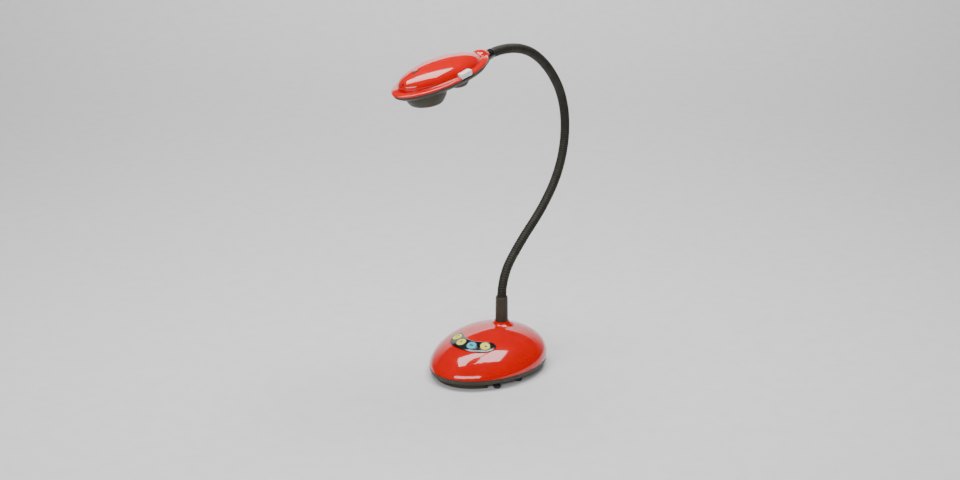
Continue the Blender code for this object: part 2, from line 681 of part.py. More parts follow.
def under_cover(head):
    top = HEAD_EDGE_Z - GAP
    cover = add_part("head_under_cover", bowl_mesh("head_under_cover", 0.0, top), DARK, head)
    low = LENS_BOTTOM_Z
    barrel = [(0.0, top - 1.0), (30.5, top - 1.0), (29.6, -13.0), (27.6, low + 8.5), (25.2, low + 4.0),
              (23.6, low + 1.2), (22.6, low), (0.0, low)]
    bulge = add_cutter("lens_bulge", turned_mesh("lens_bulge", barrel), head, (0.0, LENS_Y, 0.0))
    add_screw_turn(bulge, 32)
    boolean(cover, bulge, "UNION")
    foot = LAMP_BOTTOM_Z
    pod = [(0.0, top - 1.0), (18.6, top - 1.0), (17.4, -15.0), (14.6, foot + 4.0),
           (12.6, foot + 1.2), (11.2, foot), (0.0, foot)]
    lamp = add_cutter("lamp_bulge", turned_mesh("lamp_bulge", pod), head, (0.0, LAMP_Y, 0.0))
    add_screw_turn(lamp, 24)
    boolean(cover, lamp, "UNION")
    split = block_mesh("cover_split", [((0.0, 80.0, top + 15.0), (60.0, 60.0, 30.0))])
    half = collar_form("cover_tube", head, 0.8, 1.4)
    boolean(half, add_cutter("cover_split", split, head), "DIFFERENCE")
    boolean(cover, half, "UNION")
    hollow = add_cutter("cover_hollow", bowl_mesh("cover_hollow", -HEAD_WALL, 4.0), head)
    boolean(cover, hollow, "DIFFERENCE")
    shelf = low + 2.2
    inside = [(0.0, 2.0), (27.8, 2.0), (27.2, -12.6), (25.2, low + 9.0), (22.8, low + 4.8),
              (21.4, shelf), (17.0, shelf), (17.0, low - 10.0), (0.0, low - 10.0)]
    well = add_cutter("lens_well", turned_mesh("lens_well", inside), head, (0.0, LENS_Y, 0.0))
    add_screw_turn(well, 32)
    boolean(cover, well, "DIFFERENCE")
    shelf = foot + 2.2
    cup = [(0.0, 2.0), (16.2, 2.0), (15.0, -14.6), (12.2, foot + 5.0), (10.0, shelf),
           (7.2, shelf), (7.2, foot - 6.0), (0.0, foot - 6.0)]
    lamp_well = add_cutter("lamp_well", turned_mesh("lamp_well", cup), head, (0.0, LAMP_Y, 0.0))
    add_screw_turn(lamp_well, 24)
    boolean(cover, lamp_well, "DIFFERENCE")
    boolean(cover, collar_bore("cover_bore", head), "DIFFERENCE")
    notch = block_mesh("key_notch", [((38.0, SIDE_KEY_Y, SIDE_KEY_Z - 0.8), (20.0, 22.4, 10.6))])
    boolean(cover, add_cutter("key_notch", notch, head), "DIFFERENCE")
    for index, (x, y, seat) in enumerate(HEAD_SCREWS):
        bore = [(0.0, 4.0), (1.6, 4.0), (1.6, seat), (3.0, seat), (3.0, -20.0), (0.0, -20.0)]
        name = f"screw_seat_{index + 1}"
        cutter = add_cutter(name, turned_mesh(name, bore), head, (x, y, 0.0))
        add_screw_turn(cutter, 14)
        boolean(cover, cutter, "DIFFERENCE")


def camera_parts(head):
    low = LENS_BOTTOM_Z
    ring = [(16.6, low + 3.4), (16.6, low - 0.8), (15.6, low - 1.4), (13.6, low - 0.8), (12.6, low + 0.6),
            (12.6, low + 3.4)]
    turned("lens_bezel", ring, BLACK, head, (0.0, LENS_Y, 0.0), 28, closed=True)
    glass = [(0.0, low + 2.4), (12.2, low + 2.4), (12.2, low + 0.9), (0.0, low + 0.9)]
    turned("lens_glass", glass, GLASS, head, (0.0, LENS_Y, 0.0), 28)
    barrel = [(0.0, -8.4), (11.0, -8.4), (11.0, -16.0), (9.0, -16.6), (9.0, low + 3.8), (6.6, low + 3.8),
              (5.2, low + 6.4), (0.0, low + 7.0)]
    turned("lens_barrel", barrel, BLACK, head, (0.0, LENS_Y, 0.0), 24)
    board = block_mesh("sensor_board", [((0.0, LENS_Y, -7.1), (30.0, 34.0, 1.6))])
    add_part("sensor_board", board, GREEN, head)
    foot = LAMP_BOTTOM_Z
    lens = [(0.0, foot + 2.0), (6.8, foot + 2.0), (6.8, foot - 0.2), (5.0, foot - 1.6), (2.6, foot - 2.4),
            (0.0, foot - 2.6)]
    turned("lamp_lens", lens, GLASS, head, (0.0, LAMP_Y, 0.0), 20)
    led = block_mesh("lamp_led", [((0.0, LAMP_Y, foot + 6.4), (12.0, 12.0, 1.6))])
    body = add_part("lamp_led", led, WHITE, head)
    chip = block_mesh("led_chip", [((0.0, LAMP_Y, foot + 4.8), (5.0, 5.0, 2.2))])
    boolean(body, add_cutter("led_chip", chip, head), "UNION")


def head_small_parts(head):
    light = block_mesh("status_light", [((0.0, -45.6, head_dome_z(-45.6) - 1.0), (3.0, 7.0, 3.0))], 0.6)
    add_part("status_light", light, GREY, head)
    dot = rod_mesh("microphone", [(0.0, 0.0, 66.5, 72.4, 1.15)], 12)
    dot.transform(Matrix.Translation((0.0, 0.0, 10.6 * MM)) @ Matrix.Rotation(math.pi / 2, 4, "X"))
    add_part("microphone", dot, BLACK, head)
    switch = block_mesh("lamp_switch", [((22.5, SIDE_KEY_Y, SIDE_KEY_Z), (5.0, 7.0, 5.0))])
    add_part("lamp_switch", switch, GREY, head)
    for index, (x, y, seat) in enumerate(HEAD_SCREWS):
        low = seat - GAP
        profile = [(0.0, 5.0), (1.0, 5.0), (1.0, low), (2.6, low), (2.6, low - 1.4), (0.0, low - 1.4)]
        turned(f"head_screw_{index + 1}", profile, STEEL, head, (x, y, 0.0), 12)


def side_key(head):
    pivot = empty("lamp_key_frame", (SIDE_KEY_X, SIDE_KEY_Y, SIDE_KEY_Z), parent=head)
    depth = SIDE_KEY_SIZE[0]
    cap = block_mesh("lamp_key", [((-depth / 2, 0.0, 0.0), SIDE_KEY_SIZE)], 1.2)
    key = add_part("lamp_key", cap, WHITE, pivot)
    stem = block_mesh("key_stem", [((-depth - 0.4, 0.0, 0.0), (2.4, 3.6, 3.0))])
    boolean(key, add_cutter("key_stem", stem, pivot), "UNION")


def ferrule(head):
    """Black end sleeve of the neck, held between the two halves of the head's collar."""
    bore = NECK_RADIUS + 0.4
    profile = [(7.3, 0.0), (7.5, -1.0), (7.5, -24.0), (bore, -24.0), (bore, 0.0)]
    place = (0.0, COLLAR_END_Y + 12.0, COLLAR_Z)
    part = turned("head_ferrule", profile, BLACK, head, place, 24, closed=True)
    part.rotation_euler = (-math.pi / 2, 0.0, 0.0)


def build():
    base = empty("base_frame", (0.0, BASE_Y, 0.0))
    base_shell(base)
    base_pan(base)
    plinth(base)
    feet(base)
    ballast(base)
    base_screws(base)
    neck_mount(base)
    keypad(base)
    keys(key_frames(base))
    main_board(base)
    cable_tail(base)
    neck_links(base)
    end, heading = neck_point(NECK_ARC * len(NECK_BENDS))
    pitch_deg = -math.degrees(heading) - 90.0
    back = Matrix.Rotation(math.radians(pitch_deg), 3, "X") @ Vector((0.0, NECK_INSERT_Y, COLLAR_Z))
    head = empty("head_frame", end - back, pitch_deg, base)
    head_shell(head)
    under_cover(head)
    camera_parts(head)
    head_small_parts(head)
    side_key(head)
    ferrule(head)


build()
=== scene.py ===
# %% [markdown]
# # A gooseneck document camera
# The device stands on a heavy egg-shaped foot with a keypad, and a bendable ribbed neck holds a
# camera head over the table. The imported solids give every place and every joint. This lesson
# makes the moulded skins, the ribbed neck and the finishes around them. Sizes are written in
# millimetres and multiplied by MM, because Blender works in metres.

# %% Load the frame
import json
import math
import bpy
import bmesh
from mathutils import Matrix, Vector
from mathutils.bvhtree import BVHTree


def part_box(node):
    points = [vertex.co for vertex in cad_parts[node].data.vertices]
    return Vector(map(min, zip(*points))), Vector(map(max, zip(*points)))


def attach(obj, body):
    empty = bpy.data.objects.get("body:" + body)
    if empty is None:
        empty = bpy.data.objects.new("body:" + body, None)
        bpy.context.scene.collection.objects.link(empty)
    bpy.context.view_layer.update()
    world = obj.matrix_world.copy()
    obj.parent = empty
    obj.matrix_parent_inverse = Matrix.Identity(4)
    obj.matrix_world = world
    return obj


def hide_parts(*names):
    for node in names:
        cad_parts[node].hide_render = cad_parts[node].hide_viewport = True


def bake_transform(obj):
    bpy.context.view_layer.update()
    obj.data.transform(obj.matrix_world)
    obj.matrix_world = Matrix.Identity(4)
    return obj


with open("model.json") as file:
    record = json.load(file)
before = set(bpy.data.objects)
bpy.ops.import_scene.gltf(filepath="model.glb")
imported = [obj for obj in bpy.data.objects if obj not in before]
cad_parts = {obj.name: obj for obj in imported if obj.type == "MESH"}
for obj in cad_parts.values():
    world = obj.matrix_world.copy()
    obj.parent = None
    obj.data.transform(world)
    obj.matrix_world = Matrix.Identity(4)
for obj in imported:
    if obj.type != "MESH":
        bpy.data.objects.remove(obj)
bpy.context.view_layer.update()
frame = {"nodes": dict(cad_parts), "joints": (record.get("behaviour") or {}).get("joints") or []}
MM = 0.001

# %% [markdown]
# ## Camera
# The camera stands a little above the table, to the front and one side, with a long lens so that
# the base and the head keep their true proportions. It looks at a point in the middle of the
# device. A small shift moves the picture and leaves the vertical lines as they are.

# %% Camera
CAMERA_AZIMUTH = math.radians(41.0)
CAMERA_ELEVATION = math.radians(18.65)
CAMERA_DISTANCE = 2.2
CAMERA_TARGET = Vector((0.0, -0.0221, 0.230))
toward_camera = Vector((math.sin(CAMERA_AZIMUTH) * math.cos(CAMERA_ELEVATION),
                        -math.cos(CAMERA_AZIMUTH) * math.cos(CAMERA_ELEVATION),
                        math.sin(CAMERA_ELEVATION)))
camera = bpy.data.objects.new("camera", bpy.data.cameras.new("camera"))
bpy.context.scene.collection.objects.link(camera)
camera.location = CAMERA_TARGET + toward_camera * CAMERA_DISTANCE
camera.rotation_euler = (-toward_camera).to_track_quat("-Z", "Y").to_euler()
camera.data.sensor_width = 36.0
camera.data.lens = 58.93
camera.data.shift_x = 0.0028
camera.data.shift_y = -0.0203
bpy.context.scene.camera = camera
print("camera at", [round(value, 3) for value in camera.location])

# %% [markdown]
# ## Ring stacks
# Nearly every part here is moulded or turned, so one way of modelling fits them: start with a
# filled circle, stretch it to the part's outline, then extrude its face ring by ring, moving and
# scaling each new ring. By hand that is E, G and S over and over. A ring is written as half its
# width, half its length, its middle's y, and its height. The egg shape comes from one taper of
# the first ring, which all later rings inherit. Joined forms are fused by a voxel remesh, and
# the skin that this leaves uneven is drawn back onto the true form away from the join.

# %% Ring stacks
def only(*objects):
    """Deselects everything, then selects these objects and makes the first one active."""
    bpy.ops.object.select_all(action="DESELECT")
    for obj in objects:
        obj.select_set(True)
    if objects:
        bpy.context.view_layer.objects.active = objects[0]


def ring_stack(name, rings, around=96, taper=0.0):
    """A closed solid through rings of (half width, half length, middle y, height) in mm."""
    only()
    bpy.ops.mesh.primitive_circle_add(vertices=around, radius=1.0, fill_type="NGON")
    obj = bpy.context.object
    obj.name = name
    width, length, y, z = (value * MM for value in rings[0])
    bpy.ops.object.mode_set(mode="EDIT")
    bpy.ops.mesh.select_all(action="SELECT")
    bpy.ops.transform.resize(value=(width, length, 1.0))
    bpy.ops.transform.translate(value=(0.0, y, z))
    mesh = bmesh.from_edit_mesh(obj.data)
    for vert in mesh.verts:
        vert.co.x *= 1.0 + taper * (vert.co.y - y) / length
    for ring in rings[1:]:
        new_width, new_length, new_y, new_z = (value * MM for value in ring)
        bpy.ops.mesh.extrude_region_move(
            TRANSFORM_OT_translate={"value": (0.0, new_y - y, new_z - z)})
        if new_width == 0.0:
            bpy.ops.mesh.merge(type="CENTER")
            break
        bpy.ops.transform.resize(value=(new_width / width, new_length / length, 1.0),
                                 center_override=(0.0, new_y, new_z))
        width, length, y, z = new_width, new_length, new_y, new_z
    bpy.ops.mesh.select_all(action="SELECT")
    bpy.ops.mesh.normals_make_consistent(inside=False)
    bpy.ops.object.mode_set(mode="OBJECT")
    return obj


def turned(name, profile, around=48):
    """A turned solid from (radius, height) pairs."""
    return ring_stack(name, [(radius, radius, 0.0, z) for radius, z in profile], around)


def combine(target, tool, operation="DIFFERENCE"):
    """Cuts the tool out of the target, or joins it on, and removes the tool."""
    modifier = target.modifiers.new("combine", "BOOLEAN")
    modifier.operation = operation
    modifier.object = tool
    modifier.solver = "EXACT"
    only(target)
    bpy.ops.object.modifier_apply(modifier=modifier.name)
    bpy.data.objects.remove(tool, do_unlink=True)
    return target


def soften(obj, voxel, rounds):
    """Fuses a joined form into one skin of even squares and relaxes it, which rounds the joins."""
    remesh = obj.modifiers.new("fuse", "REMESH")
    remesh.mode = "VOXEL"
    remesh.voxel_size = voxel * MM
    smooth = obj.modifiers.new("relax", "SMOOTH")
    smooth.factor = 0.5
    smooth.iterations = rounds
    only(obj)
    bpy.ops.object.modifier_apply(modifier="fuse")
    bpy.ops.object.modifier_apply(modifier="relax")
    return obj


def draw_back(obj, guide, other, near=2.0, far=9.0):
    """Draws a softened skin back onto its guide form, except close to the form joined to it."""
    group = obj.vertex_groups.new(name="away")
    tree = BVHTree.FromPolygons([vert.co for vert in other.data.vertices],
                                [face.vertices[:] for face in other.data.polygons])
    for vert in obj.data.vertices:
        distance = tree.find_nearest(vert.co)[3] / MM
        share = min(max((distance - near) / (far - near), 0.0), 1.0)
        group.add([vert.index], share * share * (3.0 - 2.0 * share), "REPLACE")
    wrap = obj.modifiers.new("draw back", "SHRINKWRAP")
    wrap.target = guide
    wrap.vertex_group = "away"
    only(obj)
    bpy.ops.object.modifier_apply(modifier="draw back")
    obj.vertex_groups.clear()
    bpy.data.objects.remove(guide, do_unlink=True)
    bpy.data.objects.remove(other, do_unlink=True)


def settle(obj, matrix=None):
    """Puts the object's place, and a matrix after it, into its mesh."""
    bpy.context.view_layer.update()
    obj.data.transform(obj.matrix_world)
    obj.matrix_world = Matrix.Identity(4)
    if matrix is not None:
        obj.data.transform(matrix)
    obj.data.update()
    return obj


def at(x, y, z=0.0):
    """The matrix that moves a piece to a place in mm."""
    return Matrix.Translation((x * MM, y * MM, z * MM))


def block(x, y, z, size):
    """A plain block of size (x, y, z) mm as a cutting tool."""
    bpy.ops.mesh.primitive_cube_add(size=1.0, location=(x * MM, y * MM, z * MM),
                                    scale=tuple(side * MM for side in size))
    return settle(bpy.context.object)


def close_up(obj, merge=0.0):
    """Merges points closer than this many metres, and turns every face outwards."""
    only(obj)
    bpy.ops.object.mode_set(mode="EDIT")
    bpy.ops.mesh.select_all(action="SELECT")
    if merge:
        bpy.ops.mesh.remove_doubles(threshold=merge)
    bpy.ops.mesh.normals_make_consistent(inside=False)
    bpy.ops.object.mode_set(mode="OBJECT")
    return obj


print("ring stacks, cuts and softening are ready")

# %% [markdown]
# ## Finishes: shared nodes
# No finish is one flat colour. Each starts from a Principled shader whose colour, roughness and
# bump all read noise in Object coordinates, so the pattern is fixed to the part. A coat weight or
# another number that is the same all over goes straight on the shader's socket.

# %% Shared nodes
def finish_nodes(name, metallic=0.0, coat=0.0, coat_roughness=0.05, specular=0.5):
    """A new material with its shader and its Object coordinates."""
    material = bpy.data.materials.new(name)
    material.use_nodes = True
    tree = material.node_tree
    shader = tree.nodes["Principled BSDF"]
    shader.inputs["Metallic"].default_value = metallic
    shader.inputs["Coat Weight"].default_value = coat
    shader.inputs["Coat Roughness"].default_value = coat_roughness
    shader.inputs["Specular IOR Level"].default_value = specular
    where = tree.nodes.new("ShaderNodeTexCoord").outputs["Object"]
    return material, tree, shader, where


def noise(tree, where, scale, detail=3.0, stretch=(1.0, 1.0, 1.0)):
    """Noise with this many cells in a metre, stretched along an axis if asked."""
    mapping = tree.nodes.new("ShaderNodeMapping")
    mapping.inputs["Scale"].default_value = stretch
    texture = tree.nodes.new("ShaderNodeTexNoise")
    texture.inputs["Scale"].default_value = scale
    texture.inputs["Detail"].default_value = detail
    tree.links.new(where, mapping.inputs["Vector"])
    tree.links.new(mapping.outputs["Vector"], texture.inputs["Vector"])
    return texture.outputs["Fac"]


def spread(tree, value, low, high, start=0.3, end=0.7):
    """Turns a value between start and end into one between low and high."""
    node = tree.nodes.new("ShaderNodeMapRange")
    for socket, number in zip(node.inputs[1:5], (start, end, low, high)):
        socket.default_value = number
    tree.links.new(value, node.inputs["Value"])
    return node.outputs["Result"]


def two_colours(tree, value, first, second):
    """Colour between first and second by a value from 0 to 1."""
    ramp = tree.nodes.new("ShaderNodeValToRGB")
    ramp.color_ramp.elements[0].color = (*first, 1.0)
    ramp.color_ramp.elements[1].color = (*second, 1.0)
    tree.links.new(value, ramp.inputs["Fac"])
    return ramp.outputs["Color"]


def bump(tree, shader, height, depth_mm, strength=0.5):
    """Gives the shader a bump of this height."""
    node = tree.nodes.new("ShaderNodeBump")
    node.inputs["Strength"].default_value = strength
    node.inputs["Distance"].default_value = depth_mm * MM
    tree.links.new(height, node.inputs["Height"])
    tree.links.new(node.outputs["Normal"], shader.inputs["Normal"])


def moulded(name, dark, light, rough, grain, depth_mm, **shader_values):
    """A moulded plastic or rubber: cloudy colour, patchy gloss and a fine surface grain."""
    material, tree, shader, where = finish_nodes(name, **shader_values)
    clouds = noise(tree, where, 40.0)
    fine = noise(tree, where, grain, 2.0)
    tree.links.new(two_colours(tree, spread(tree, clouds, 0.0, 1.0), dark, light),
                   shader.inputs["Base Color"])
    tree.links.new(spread(tree, noise(tree, where, 90.0), *rough), shader.inputs["Roughness"])
    bump(tree, shader, fine, depth_mm)
    return material


print("finish helpers are ready")

# %% [markdown]
# ## Plastics and rubber
# The red shells are high-gloss ABS: under the smooth clear coat the colour hardly varies, but the
# gloss does, with the faint orange-peel that a mould leaves and a haze of handling. The dark
# plastic is spark-eroded, a fine matt grain. The keypad panel is polished black. The keys are
# satin moulded plastic, and the feet are soft rubber.

# %% Plastics and rubber
gloss_red = moulded("gloss_red", (0.60, 0.0004, 0.0002), (0.68, 0.0006, 0.0003), (0.10, 0.20),
                    260.0, 0.02, coat=1.0, coat_roughness=0.025, specular=0.15)
dark_plastic = moulded("dark_plastic", (0.032, 0.029, 0.018), (0.047, 0.042, 0.027),
                       (0.42, 0.56), 2600.0, 0.05, specular=0.35)
panel_black = moulded("panel_black", (0.008, 0.008, 0.009), (0.014, 0.014, 0.015),
                      (0.10, 0.22), 500.0, 0.01, coat=0.8, coat_roughness=0.04)
lens_black = moulded("lens_black", (0.006, 0.006, 0.006), (0.012, 0.012, 0.012),
                     (0.30, 0.45), 1800.0, 0.03)
key_yellow = moulded("key_yellow", (0.80, 0.77, 0.06), (0.87, 0.84, 0.09), (0.30, 0.42),
                     1500.0, 0.02, coat=0.3, coat_roughness=0.15)
key_cyan = moulded("key_cyan", (0.028, 0.46, 0.62), (0.045, 0.54, 0.70), (0.30, 0.42),
                   1500.0, 0.02, coat=0.3, coat_roughness=0.15)
key_white = moulded("key_white", (0.86, 0.86, 0.83), (0.93, 0.93, 0.91), (0.25, 0.38),
                    1500.0, 0.02, coat=0.3, coat_roughness=0.15)
legend_ink = moulded("legend_ink", (0.012, 0.014, 0.012), (0.03, 0.032, 0.03), (0.45, 0.6),
                     2400.0, 0.01)
foot_rubber = moulded("foot_rubber", (0.012, 0.012, 0.012), (0.024, 0.024, 0.023),
                      (0.70, 0.90), 2200.0, 0.08)
switch_plastic = moulded("switch_plastic", (0.16, 0.155, 0.145), (0.24, 0.235, 0.22),
                         (0.40, 0.55), 1600.0, 0.03)
status_window = moulded("status_window", (0.13, 0.12, 0.10), (0.20, 0.19, 0.16), (0.12, 0.22),
                        900.0, 0.01, coat=0.6)
print("plastics:", [material.name for material in bpy.data.materials][-11:])

# %% [markdown]
# ## Metal, boards and glass
# Screws, the neck's nut and the ballast are zinc-plated steel with a drawn grain, so their noise
# is stretched along one axis. The circuit boards carry solder mask over copper tracks: a brick
# pattern at two scales draws tracks and pads. The lens front is coated glass with a faint smear,
# and the lamp's lens is frosted.

# %% Metal, boards and glass
def drawn_steel():
    material, tree, shader, where = finish_nodes("drawn_steel", metallic=1.0)
    grain = noise(tree, where, 260.0, 4.0, stretch=(1.0, 1.0, 14.0))
    tree.links.new(two_colours(tree, grain, (0.40, 0.40, 0.41), (0.66, 0.65, 0.64)),
                   shader.inputs["Base Color"])
    tree.links.new(spread(tree, grain, 0.24, 0.46), shader.inputs["Roughness"])
    bump(tree, shader, grain, 0.03)
    return material


def board_green():
    material, tree, shader, where = finish_nodes("board_green", coat=0.4, coat_roughness=0.2)
    tracks = tree.nodes.new("ShaderNodeTexBrick")
    tracks.inputs["Scale"].default_value = 220.0
    tracks.inputs["Mortar Size"].default_value = 0.06
    tracks.inputs["Color1"].default_value = (0.010, 0.085, 0.035, 1.0)
    tracks.inputs["Color2"].default_value = (0.012, 0.100, 0.042, 1.0)
    tracks.inputs["Mortar"].default_value = (0.035, 0.200, 0.085, 1.0)
    tree.links.new(where, tracks.inputs["Vector"])
    tree.links.new(tracks.outputs["Color"], shader.inputs["Base Color"])
    tree.links.new(spread(tree, noise(tree, where, 120.0), 0.35, 0.5), shader.inputs["Roughness"])
    bump(tree, shader, tracks.outputs["Fac"], 0.04)
    return material


def glass(name, tint, roughness):
    material, tree, shader, where = finish_nodes(name, coat=0.5)
    shader.inputs["Transmission Weight"].default_value = 1.0
    shader.inputs["IOR"].default_value = 1.5
    smear = noise(tree, where, 90.0, 4.0)
    tree.links.new(two_colours(tree, smear, tint, tuple(min(1.0, c + 0.12) for c in tint)),
                   shader.inputs["Base Color"])
    tree.links.new(spread(tree, smear, *roughness), shader.inputs["Roughness"])
    bump(tree, shader, smear, 0.004)
    return material


steel = drawn_steel()
circuit_board = board_green()
lens_glass = glass("lens_glass", (0.62, 0.60, 0.78), (0.0, 0.05))
lamp_glass = glass("lamp_glass", (0.86, 0.88, 0.86), (0.25, 0.4))
print("steel, board and two glasses")

# %% [markdown]
# ## The neck's coat
# The gooseneck is a wound steel tube in a thin black skin. Its colour is a painted highlight on
# the crests of its ribs and painted shade in its grooves, in patches by noise, and the crests are
# less rough. The finish reads an attribute named rib, which the neck's mesh carries: 1 on a crest
# and 0 in a groove.

# %% The neck's coat
def neck_coat():
    material, tree, shader, where = finish_nodes("neck_coat", specular=0.3)
    rib = tree.nodes.new("ShaderNodeAttribute")
    rib.attribute_name = "rib"
    # Noise breaks the painted crest highlight into patches.
    crest_light = tree.nodes.new("ShaderNodeMath")
    crest_light.operation = "MULTIPLY"
    tree.links.new(rib.outputs["Fac"], crest_light.inputs[0])
    tree.links.new(spread(tree, noise(tree, where, 70.0), 0.55, 1.0), crest_light.inputs[1])
    painted_crest_light = crest_light.outputs["Value"]
    # Colour: lighter on rib crests as a painted highlight, darker in grooves as painted shade.
    tree.links.new(two_colours(tree, painted_crest_light, (0.003, 0.0027, 0.0018), (0.034, 0.030, 0.020)),
                   shader.inputs["Base Color"])
    tree.links.new(spread(tree, painted_crest_light, 0.70, 0.42, 0.0, 1.0), shader.inputs["Roughness"])
    bump(tree, shader, noise(tree, where, 3200.0, 2.0), 0.03)
    return material


neck_black = neck_coat()
print("neck coat reads the rib attribute")

# %% [markdown]
# ## Hand-over
# A finished piece is shaded smooth except at real edges, gets its finish, rides on its body, and
# hides the imported solids it stands for.

# %% Hand-over
def hand_over(obj, material, body, slot, *nodes, sharp_deg=32.0):
    """Shades the piece, gives it its finish and hands it to its body."""
    obj.data.materials.clear()
    obj.data.materials.append(material)
    only(obj)
    bpy.ops.object.shade_smooth_by_angle(angle=math.radians(sharp_deg))
    if body:
        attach(obj, body)
    if nodes:
        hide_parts(*nodes)
    size = [round(value / MM, 1) for value in obj.dimensions]
    print(f"{obj.name}: {size} mm, {len(obj.data.polygons)} faces")
    return obj


# %% [markdown]
# ## The base's form
# The base is an egg outline under a dome. The pan's imported solid gives the outline's half
# length and middle, the half width is given, and the shell's solid gives the dome's top. Up the
# dome each ring shrinks by a power of a cosine and slides back, which puts the highest point
# behind the middle.

# %% The base's form
pan_low, pan_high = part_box("base_pan")
shell_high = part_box("base_shell")[1]
EGG_TAPER = 0.09
BASE_HALF_WIDTH = 77.3
BASE_HALF_LENGTH = (pan_high.y - pan_low.y) / 2 / MM
BASE_Y = (pan_high.y + pan_low.y) / 2 / MM
RIM_Z = 16.0
DOME_TOP = shell_high.z / MM
DOME_BACK_SHIFT = 15.0
DOME_ROUNDNESS = 1.14


def dome_rings(grow=0.0, count=40, foot=None):
    """Rings of the dome from its rim to its top, grown outwards in mm."""
    rings = [(BASE_HALF_WIDTH + grow, BASE_HALF_LENGTH + grow, BASE_Y, foot)] if foot else []
    for step in range(count + 1):
        angle = step / count * math.pi / 2
        scale = math.cos(angle) ** DOME_ROUNDNESS if step < count else 0.0
        lift = math.sin(angle)
        rings.append(((BASE_HALF_WIDTH + grow) * scale, (BASE_HALF_LENGTH + grow) * scale,
                      BASE_Y + DOME_BACK_SHIFT * lift, RIM_Z + (DOME_TOP - RIM_Z + grow) * lift))
    return rings


def dome_solid(name, grow=0.0, count=40, foot=None):
    return ring_stack(name, dome_rings(grow, count, foot), around=144, taper=EGG_TAPER)


def dome_z(x, y):
    """Height in mm of the dome's outside over a point, by halving the way up."""
    low, high = 0.0, math.pi / 2
    for _ in range(30):
        angle = (low + high) / 2
        scale = math.cos(angle) ** DOME_ROUNDNESS
        back = (y - BASE_Y - DOME_BACK_SHIFT * math.sin(angle)) / (BASE_HALF_LENGTH * scale)
        inside = abs(back) < 1.0 and abs(x) < (BASE_HALF_WIDTH * scale * (1.0 + EGG_TAPER * back)
                                               * math.sqrt(1.0 - back * back))
        low, high = (angle, high) if inside else (low, angle)
    return RIM_Z + (DOME_TOP - RIM_Z) * math.sin(low)


print(f"base {2 * BASE_HALF_WIDTH:.0f} x {2 * BASE_HALF_LENGTH:.0f} mm, top at {DOME_TOP:.1f}")

# %% [markdown]
# ## Keypad outline
# The keypad is a black crescent let into the dome, and four keys stand on its arc. Each key's
# place and tilt come from its packed joint: the joint's axis is the way the key is pressed, so
# the opposite way is the key's own up. The crescent itself is a grid bent round the arc. Its
# width swells from nothing at the tips by a fifth power, which gives round ends.

# %% Keypad outline
KEY_NODES = ["key_1", "key_2", "key_3", "key_4"]
ARC_Y = BASE_Y - 9.4
ARC_RADIUS = 36.0
PANEL_HALF_WIDTH = 10.4
PANEL_END = math.radians(71.0)
joints = {joint["name"]: joint for joint in frame["joints"]}


def key_matrix(node):
    """Place on the dome over the middle of a key, +Z along its stroke outwards."""
    up = -Vector(joints[f"{node}_press"]["axis"])
    low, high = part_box(node)
    middle = (low + high) / 2
    x, y = middle.x / MM, middle.y / MM
    for _ in range(4):
        drop = (dome_z(x, y) * MM - middle.z) / up.z
        x, y = (middle.x + up.x * drop) / MM, (middle.y + up.y * drop) / MM
    across = Vector((0.0, 1.0, 0.0)).cross(up).normalized()
    turn = Matrix((across, up.cross(across), up)).transposed().to_4x4()
    return Matrix.Translation(Vector((x, y, dome_z(x, y))) * MM) @ turn


def crescent_point(along, across, extra=0.0):
    """(x, y) in mm for along and across from -1 to 1."""
    reach = PANEL_END + extra / ARC_RADIUS
    width = (PANEL_HALF_WIDTH + extra) * math.sqrt(max(0.0, 1.0 - abs(along) ** 5))
    radius = ARC_RADIUS + across * width
    return radius * math.sin(reach * along), ARC_Y - radius * math.cos(reach * along)


def crescent_sheet(name, extra, height, columns=96, rows=14):
    """A grid bent to the crescent: height(x, y, edge) gives z in mm, edge is 1 at the rim."""
    only()
    bpy.ops.mesh.primitive_grid_add(x_subdivisions=columns, y_subdivisions=rows, size=2.0)
    obj = bpy.context.object
    obj.name = name
    for vert in obj.data.vertices:
        along = math.sin(vert.co.x * math.pi / 2)
        across = math.sin(vert.co.y * math.pi / 2)
        x, y = crescent_point(along, across, extra)
        edge = max(abs(across), abs(along))
        vert.co = Vector((x, y, height(x, y, edge))) * MM
    return obj


def thicken(obj, thickness):
    """Gives an open sheet a wall downwards, then merges what its tips left doubled."""
    wall = obj.modifiers.new("wall", "SOLIDIFY")
    wall.thickness = thickness * MM
    wall.offset = -1.0
    only(obj)
    bpy.ops.object.modifier_apply(modifier="wall")
    return close_up(obj, 0.00002)


key_places = {node: key_matrix(node) for node in KEY_NODES}
print("keys at", [[round(v / MM, 1) for v in m.translation] for m in key_places.values()])

# %% [markdown]
# ## Red base shell
# The shell is the dome less a smaller dome, so it has a real wall and an open underside. A block
# with the crescent's outline, whose lower face follows the dome a little way down, sinks the
# panel's recess. Round tools open the key holes and the neck's hole, and a slot at the back lets
# the socket out.

# %% Red base shell
def round_tool(radius, low, high, matrix, around=48):
    tool = turned("tool", [(radius, low), (radius, high)], around)
    return settle(tool, matrix)


neck_low, neck_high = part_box("neck_sleeve")
NECK_Y = (neck_low.y + neck_high.y) / 2 / MM
SHELL_WALL = 2.4
RECESS_ABOVE = 6.0
RECESS_HEIGHT = 7.3
base_shell = dome_solid("base_skin")
combine(base_shell, dome_solid("hollow", grow=-SHELL_WALL, foot=8.0))
recess = crescent_sheet("recess", 0.3, lambda x, y, edge: dome_z(x, y) + RECESS_ABOVE)
combine(base_shell, thicken(recess, RECESS_HEIGHT))
for node in KEY_NODES:
    combine(base_shell, round_tool(7.7, -8.0, 5.0, key_places[node]))
NECK_HOLE_RADIUS = 9.6
on_neck = at(0.0, NECK_Y)
combine(base_shell, round_tool(NECK_HOLE_RADIUS, 40.0, 80.0, on_neck))
combine(base_shell, block(0.0, BASE_Y + 92.0, 25.0, (9.8, 14.0, 4.2)))
hand_over(base_shell, gloss_red, "base", "gloss_red", "base_shell", sharp_deg=28.0)

